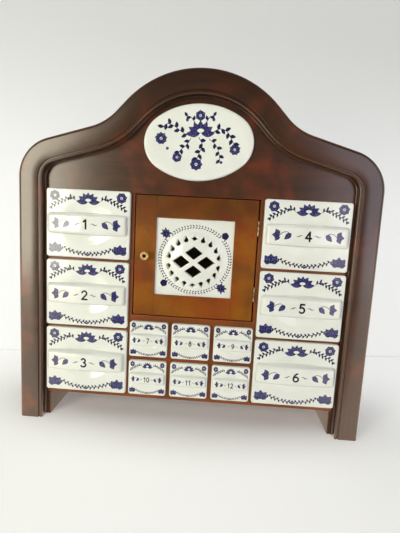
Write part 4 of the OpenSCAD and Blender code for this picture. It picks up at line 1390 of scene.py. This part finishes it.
class CABINET_OT_fittings(Operator):
    """Turns the knob and gives the hinges, screws, nails and catch their metal"""
    bl_idname = "spice_cabinet.fittings"
    bl_label = "Fittings"

    def execute(self, context):
        for node, piece in frame["nodes"].items():
            if "hinge" in node or "leaf_screws" in node:
                piece.material_slots[0].material = metal("aged_brass")
            elif node in STEEL_PIECES:
                piece.material_slots[0].material = metal("plain_steel")
        self.turn_knob()
        return {"FINISHED"}

    def turn_knob(self):
        """A round knob with a hollow front, turned from one outline of X out and Y to the front."""
        low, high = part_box("door_knob")
        centre = (low + high) / 2
        tip = high.y - low.y
        outer = (high.x - low.x) / 2
        ring = 1.45 * MM
        hole = outer - 2 * ring
        bm = bmesh.new()
        neck = ((3.4, 0.0), (3.4, 0.7), (3.1, 1.1), (2.5, 1.6), (2.4, 2.8), (2.7, 3.8), (3.6, 5.2),
                (4.6, 6.6))
        cup = ((hole, 2.4), (hole, 4.6), (hole - 0.5 * MM, 5.1), (0, 5.2))
        outline(bm, (
            *((r * MM, y * MM) for r, y in neck), (outer, tip - ring),
            (outer - ring, tip - ring, 180, 14), *((r, tip - depth * MM) for r, depth in cup)))
        bmesh.ops.spin(
            bm, geom=list(bm.verts) + list(bm.edges), cent=(0, 0, 0), axis=(0, 1, 0),
            angle=2 * math.pi, steps=48, use_merge=True, use_duplicate=False, dvec=(0, 0, 0),
            space=Matrix.Identity(4))
        bmesh.ops.remove_doubles(bm, verts=bm.verts, dist=MERGE)
        bmesh.ops.scale(bm, vec=(1, -1, 1), verts=bm.verts)
        bmesh.ops.translate(bm, vec=(centre.x, high.y, centre.z), verts=bm.verts)
        mesh = to_mesh(bm, "door_knob_wood", 40)
        co = vectors_of(mesh)
        reach = np.hypot(co[:, 0] - centre.x, co[:, 2] - centre.z)
        cupped = (reach < hole + 0.05 * MM) & (co[:, 1] < low.y + 5.5 * MM)
        # Painted shade: the hollow front darkens from 1.4 mm behind the knob's front towards its floor
        set_attribute(mesh, "grime", cupped * np.clip((co[:, 1] - low.y) / MM - 1.4, 0, 1))
        place_piece(mesh, pale_knob_wood(), "door_knob")


# ---------------------------------------------------------------- stage

COOL_GLOW = (0.99, 1, 0.98, 1)


def stage_surface(name, color, axis, start, end, start_glow, end_glow):
    """A pale surface that glows by its place along an axis. Returns the parts that its two kinds
    join into one: the material, its tree, its shader, its place and its glow."""
    made, tree, shader = new_material(name, Roughness=0.9)
    place = object_place(tree)
    pale = tuple(min(1, 1.04 * c) for c in color)
    fill(tree, shader, {
        "Base Color": blended(tree, noise(tree, place, (2, 2, 2), 2, 0.5), (*color, 1), (*pale, 1))})
    glow = ranged(tree, parts(tree, place)[axis], start, end, start_glow, end_glow)
    return made, tree, shader, place, glow


def seen_glowing(tree, shader, color, strength):
    """The shader, with a glow that only the camera, mirrors and glass see."""
    path = add(tree, "LightPath").outputs
    seen = maths(tree, "MAXIMUM", path["Is Camera Ray"],
                 maths(tree, "MAXIMUM", path["Is Glossy Ray"], path["Is Transmission Ray"]))
    light = add(tree, "Emission", {"Color": color, "Strength": strength})
    both = add(tree, "AddShader", {0: shader.outputs[0], 1: light.outputs[0]})
    return add(tree, "MixShader", {0: seen, 1: shader.outputs[0], 2: both.outputs[0]})


def see_through_behind(tree, shown):
    """Ends the material with the shader in front and nothing behind."""
    behind = add(tree, "MixShader", {
        0: add(tree, "NewGeometry").outputs["Backfacing"], 1: shown.outputs[0],
        2: add(tree, "BsdfTransparent").outputs[0]})
    fill(tree, tree.nodes["Material Output"], {"Surface": behind.outputs[0]})


def backdrop_material():
    """Brighter at its foot than above, with a thin shade line where it meets the floor."""
    made, tree, shader, place, glow = stage_surface(
        "pale_backdrop", (0.35, 0.355, 0.36), "Z", 0.2, 0.62, 0.69, 0.365)
    joint = ranged(tree, parts(tree, place)["Z"], 0.0012, 0.003, 0.78, 1.0)
    see_through_behind(tree, seen_glowing(tree, shader, COOL_GLOW, times(tree, glow, joint)))
    return made


def floor_material(wall_y):
    """A painted shadow dims its glow round the cabinet's foot. In reflections it shows painted light:
    its front is dark, like the room before the cabinet, and its sides are bright and warm."""
    made, tree, shader, place, glow = stage_surface(
        "pale_floor", (0.9, 0.91, 0.91), "Y", -0.12, wall_y, 0.36, 0.56)
    # Painted shadow: the glow fades round the cabinet's foot
    near = add(tree, "VectorMath", {0: stretched(tree, place, (4.2, 8.5, 0))}, operation="LENGTH")
    glow = times(tree, glow, ranged(tree, near.outputs["Value"], 0.5, 1.35, 0.3, 1.0))
    where = parts(tree, place)
    mirrored = add(tree, "LightPath").outputs["Is Glossy Ray"]
    aside = plus(tree, maths(tree, "ABSOLUTE", where["X"]), times(tree, where["Y"], 0.45))
    lit = times(tree, ranged(tree, aside, 0.09, 0.15, 0.0, 1.3), mirrored)
    color = blended(tree, lit, COOL_GLOW, (1, 0.86, 0.7, 1))
    glowing = seen_glowing(tree, shader, color, plus(tree, glow, lit))
    room = times(tree, ranged(tree, where["Y"], -0.4, -0.16, 1.0, 0.0),
                 ranged(tree, aside, -0.06, 0.08, 1.0, 0.0))
    dark = add(tree, "Emission", {"Color": (1, 0.8, 0.6, 1), "Strength": 0.08})
    see_through_behind(tree, add(tree, "MixShader", {
        0: times(tree, room, mirrored), 1: glowing.outputs[0], 2: dark.outputs[0]}))
    return made


def stage_plane(name, corners, material):
    """A flat square stretched to its corners: near left, near right, far left and far right."""
    bm = bmesh.new()
    bmesh.ops.create_grid(bm, x_segments=1, y_segments=1, size=1)
    for v in bm.verts:
        v.co = corners[(v.co.x > 0) + 2 * (v.co.y > 0)]
    mesh = to_mesh(bm, name, 30, recalculate=False)
    mesh.materials.append(material)
    piece = bpy.data.objects.new(name, mesh)
    bpy.context.scene.collection.objects.link(piece)


# Each lamp: its place, its width and height, its watts, its colour, and whether it is mirrored
LAMPS = {
    "window_left": ((-0.8, -1.15, 0.36), (0.42, 0.84), 10.6, (1, 0.95, 0.74), True),
    "window_right": ((0.71, -1.2, 0.38), (0.5, 0.84), 3.1, (0.95, 0.88, 1), True),
    "ceiling": ((0, -0.5, 1.7), (1.6, 1.2), 4.6, (0.97, 1, 1), False),
    "fill": ((0.1, -1.9, 0.6), (2.2, 1.4), 6.2, (0.97, 1, 1), False),
}


def area_lamp(name, place, size, watts, color, mirrored):
    """A rectangular lamp that shines on the cabinet's middle."""
    data = bpy.data.lights.new(name, "AREA")
    data.shape = "RECTANGLE"
    data.size, data.size_y = size
    data.energy = watts
    data.color = color
    lamp = bpy.data.objects.new(name, data)
    lamp.visible_glossy = mirrored
    lamp.location = place
    aim = Vector((0, 0, 0.2)) - Vector(place)
    lamp.rotation_euler = aim.to_track_quat("-Z", "Y").to_euler()
    bpy.context.scene.collection.objects.link(lamp)


class CABINET_OT_stage(Operator):
    """Sets the camera, the pale floor and backdrop, and the lamps"""
    bl_idname = "spice_cabinet.stage"
    bl_label = "Stage"

    def execute(self, context):
        scene = context.scene
        scene.view_settings.view_transform = "Standard"
        self.set_camera(scene)
        reach = 3.0
        wall_y = 0.19
        left_y = wall_y - 0.141 * reach
        right_y = wall_y + 0.141 * reach
        stage_plane("floor", ((-reach, -reach, 0), (reach, -reach, 0), (-reach, reach, 0),
                              (reach, reach, 0)), floor_material(wall_y))
        stage_plane("backdrop", ((-reach, left_y, 0), (reach, right_y, 0), (-reach, left_y, reach),
                                 (reach, right_y, reach)), backdrop_material())
        for name, lamp in LAMPS.items():
            area_lamp(name, *lamp)
        self.set_room(scene)
        return {"FINISHED"}

    def set_room(self, scene):
        """A dim room all round, with bright sides in reflections."""
        scene.world = bpy.data.worlds.new("room")
        scene.world.use_nodes = True
        tree = scene.world.node_tree
        way = parts(tree, add(tree, "TexCoord").outputs["Generated"])
        sides = ranged(tree, maths(tree, "ABSOLUTE", way["X"]), 0.6, 0.97, 0.0, 0.9)
        sides = times(tree, sides, add(tree, "LightPath").outputs["Is Glossy Ray"])
        fill(tree, tree.nodes["Background"], {
            "Color": (1, 0.94, 0.88, 1), "Strength": plus(tree, sides, 0.12)})

    def set_camera(self, scene):
        """The photograph's viewpoint: place, pitch, yaw and roll, found from the drawers' corners."""
        place = (0.026008, -0.51338, 0.260819)
        pitch, yaw, roll = 0.132762, 0.042178, 0.058522
        focal_px, image_h, sensor_mm = 385.0, 533, 36.0
        data = bpy.data.cameras.new("camera")
        data.sensor_fit = "VERTICAL"
        data.sensor_height = sensor_mm
        data.lens = focal_px * sensor_mm / image_h
        data.clip_start = 0.01
        camera = bpy.data.objects.new("camera", data)
        level = Matrix(((1, 0, 0), (0, 0, -1), (0, 1, 0)))
        look = (Matrix.Rotation(roll, 3, "Z") @ Matrix.Rotation(yaw, 3, "Y")
                @ Matrix.Rotation(pitch, 3, "X") @ level)
        right, down, ahead = look
        turned = Matrix((right, -down, -ahead)).transposed()
        camera.matrix_world = Matrix.Translation(place) @ turned.to_4x4()
        scene.collection.objects.link(camera)
        scene.camera = camera


STEPS = (
    CABINET_OT_stage, CABINET_OT_boards, CABINET_OT_moulding, CABINET_OT_door_frame,
    CABINET_OT_large_drawers, CABINET_OT_small_drawers, CABINET_OT_pierced_tile,
    CABINET_OT_oval_plaque, CABINET_OT_fittings,
)


class CABINET_PT_panel(Panel):
    """Lists the cabinet's pieces and sizes"""
    bl_idname = "CABINET_PT_panel"
    bl_label = "Spice Cabinet"
    bl_space_type = "VIEW_3D"
    bl_region_type = "UI"
    bl_category = "Cabinet"

    def draw(self, context):
        for step in STEPS:
            self.layout.operator(step.bl_idname)
        for part in CabinetSettings.__annotations__:
            box = self.layout.box()
            group = getattr(context.scene.spice_cabinet, part)
            for name in group.__annotations__:
                box.prop(group, name)


GROUPS = (
    LargeDrawerSizes, SmallDrawerSizes, MouldingSizes, TileSizes, PlaqueSizes, WoodLooks,
    GlazeLooks, CabinetSettings,
)


def register():
    for cls in (*GROUPS, *STEPS, CABINET_PT_panel):
        bpy.utils.register_class(cls)
    bpy.types.Scene.spice_cabinet = PointerProperty(type=CabinetSettings)


def unregister():
    del bpy.types.Scene.spice_cabinet
    for cls in reversed((*GROUPS, *STEPS, CABINET_PT_panel)):
        bpy.utils.unregister_class(cls)


def main():
    register()
    for step in STEPS:
        group, name = step.bl_idname.split(".")
        getattr(getattr(bpy.ops, group), name)()


if __name__ == "__main__":
    main()
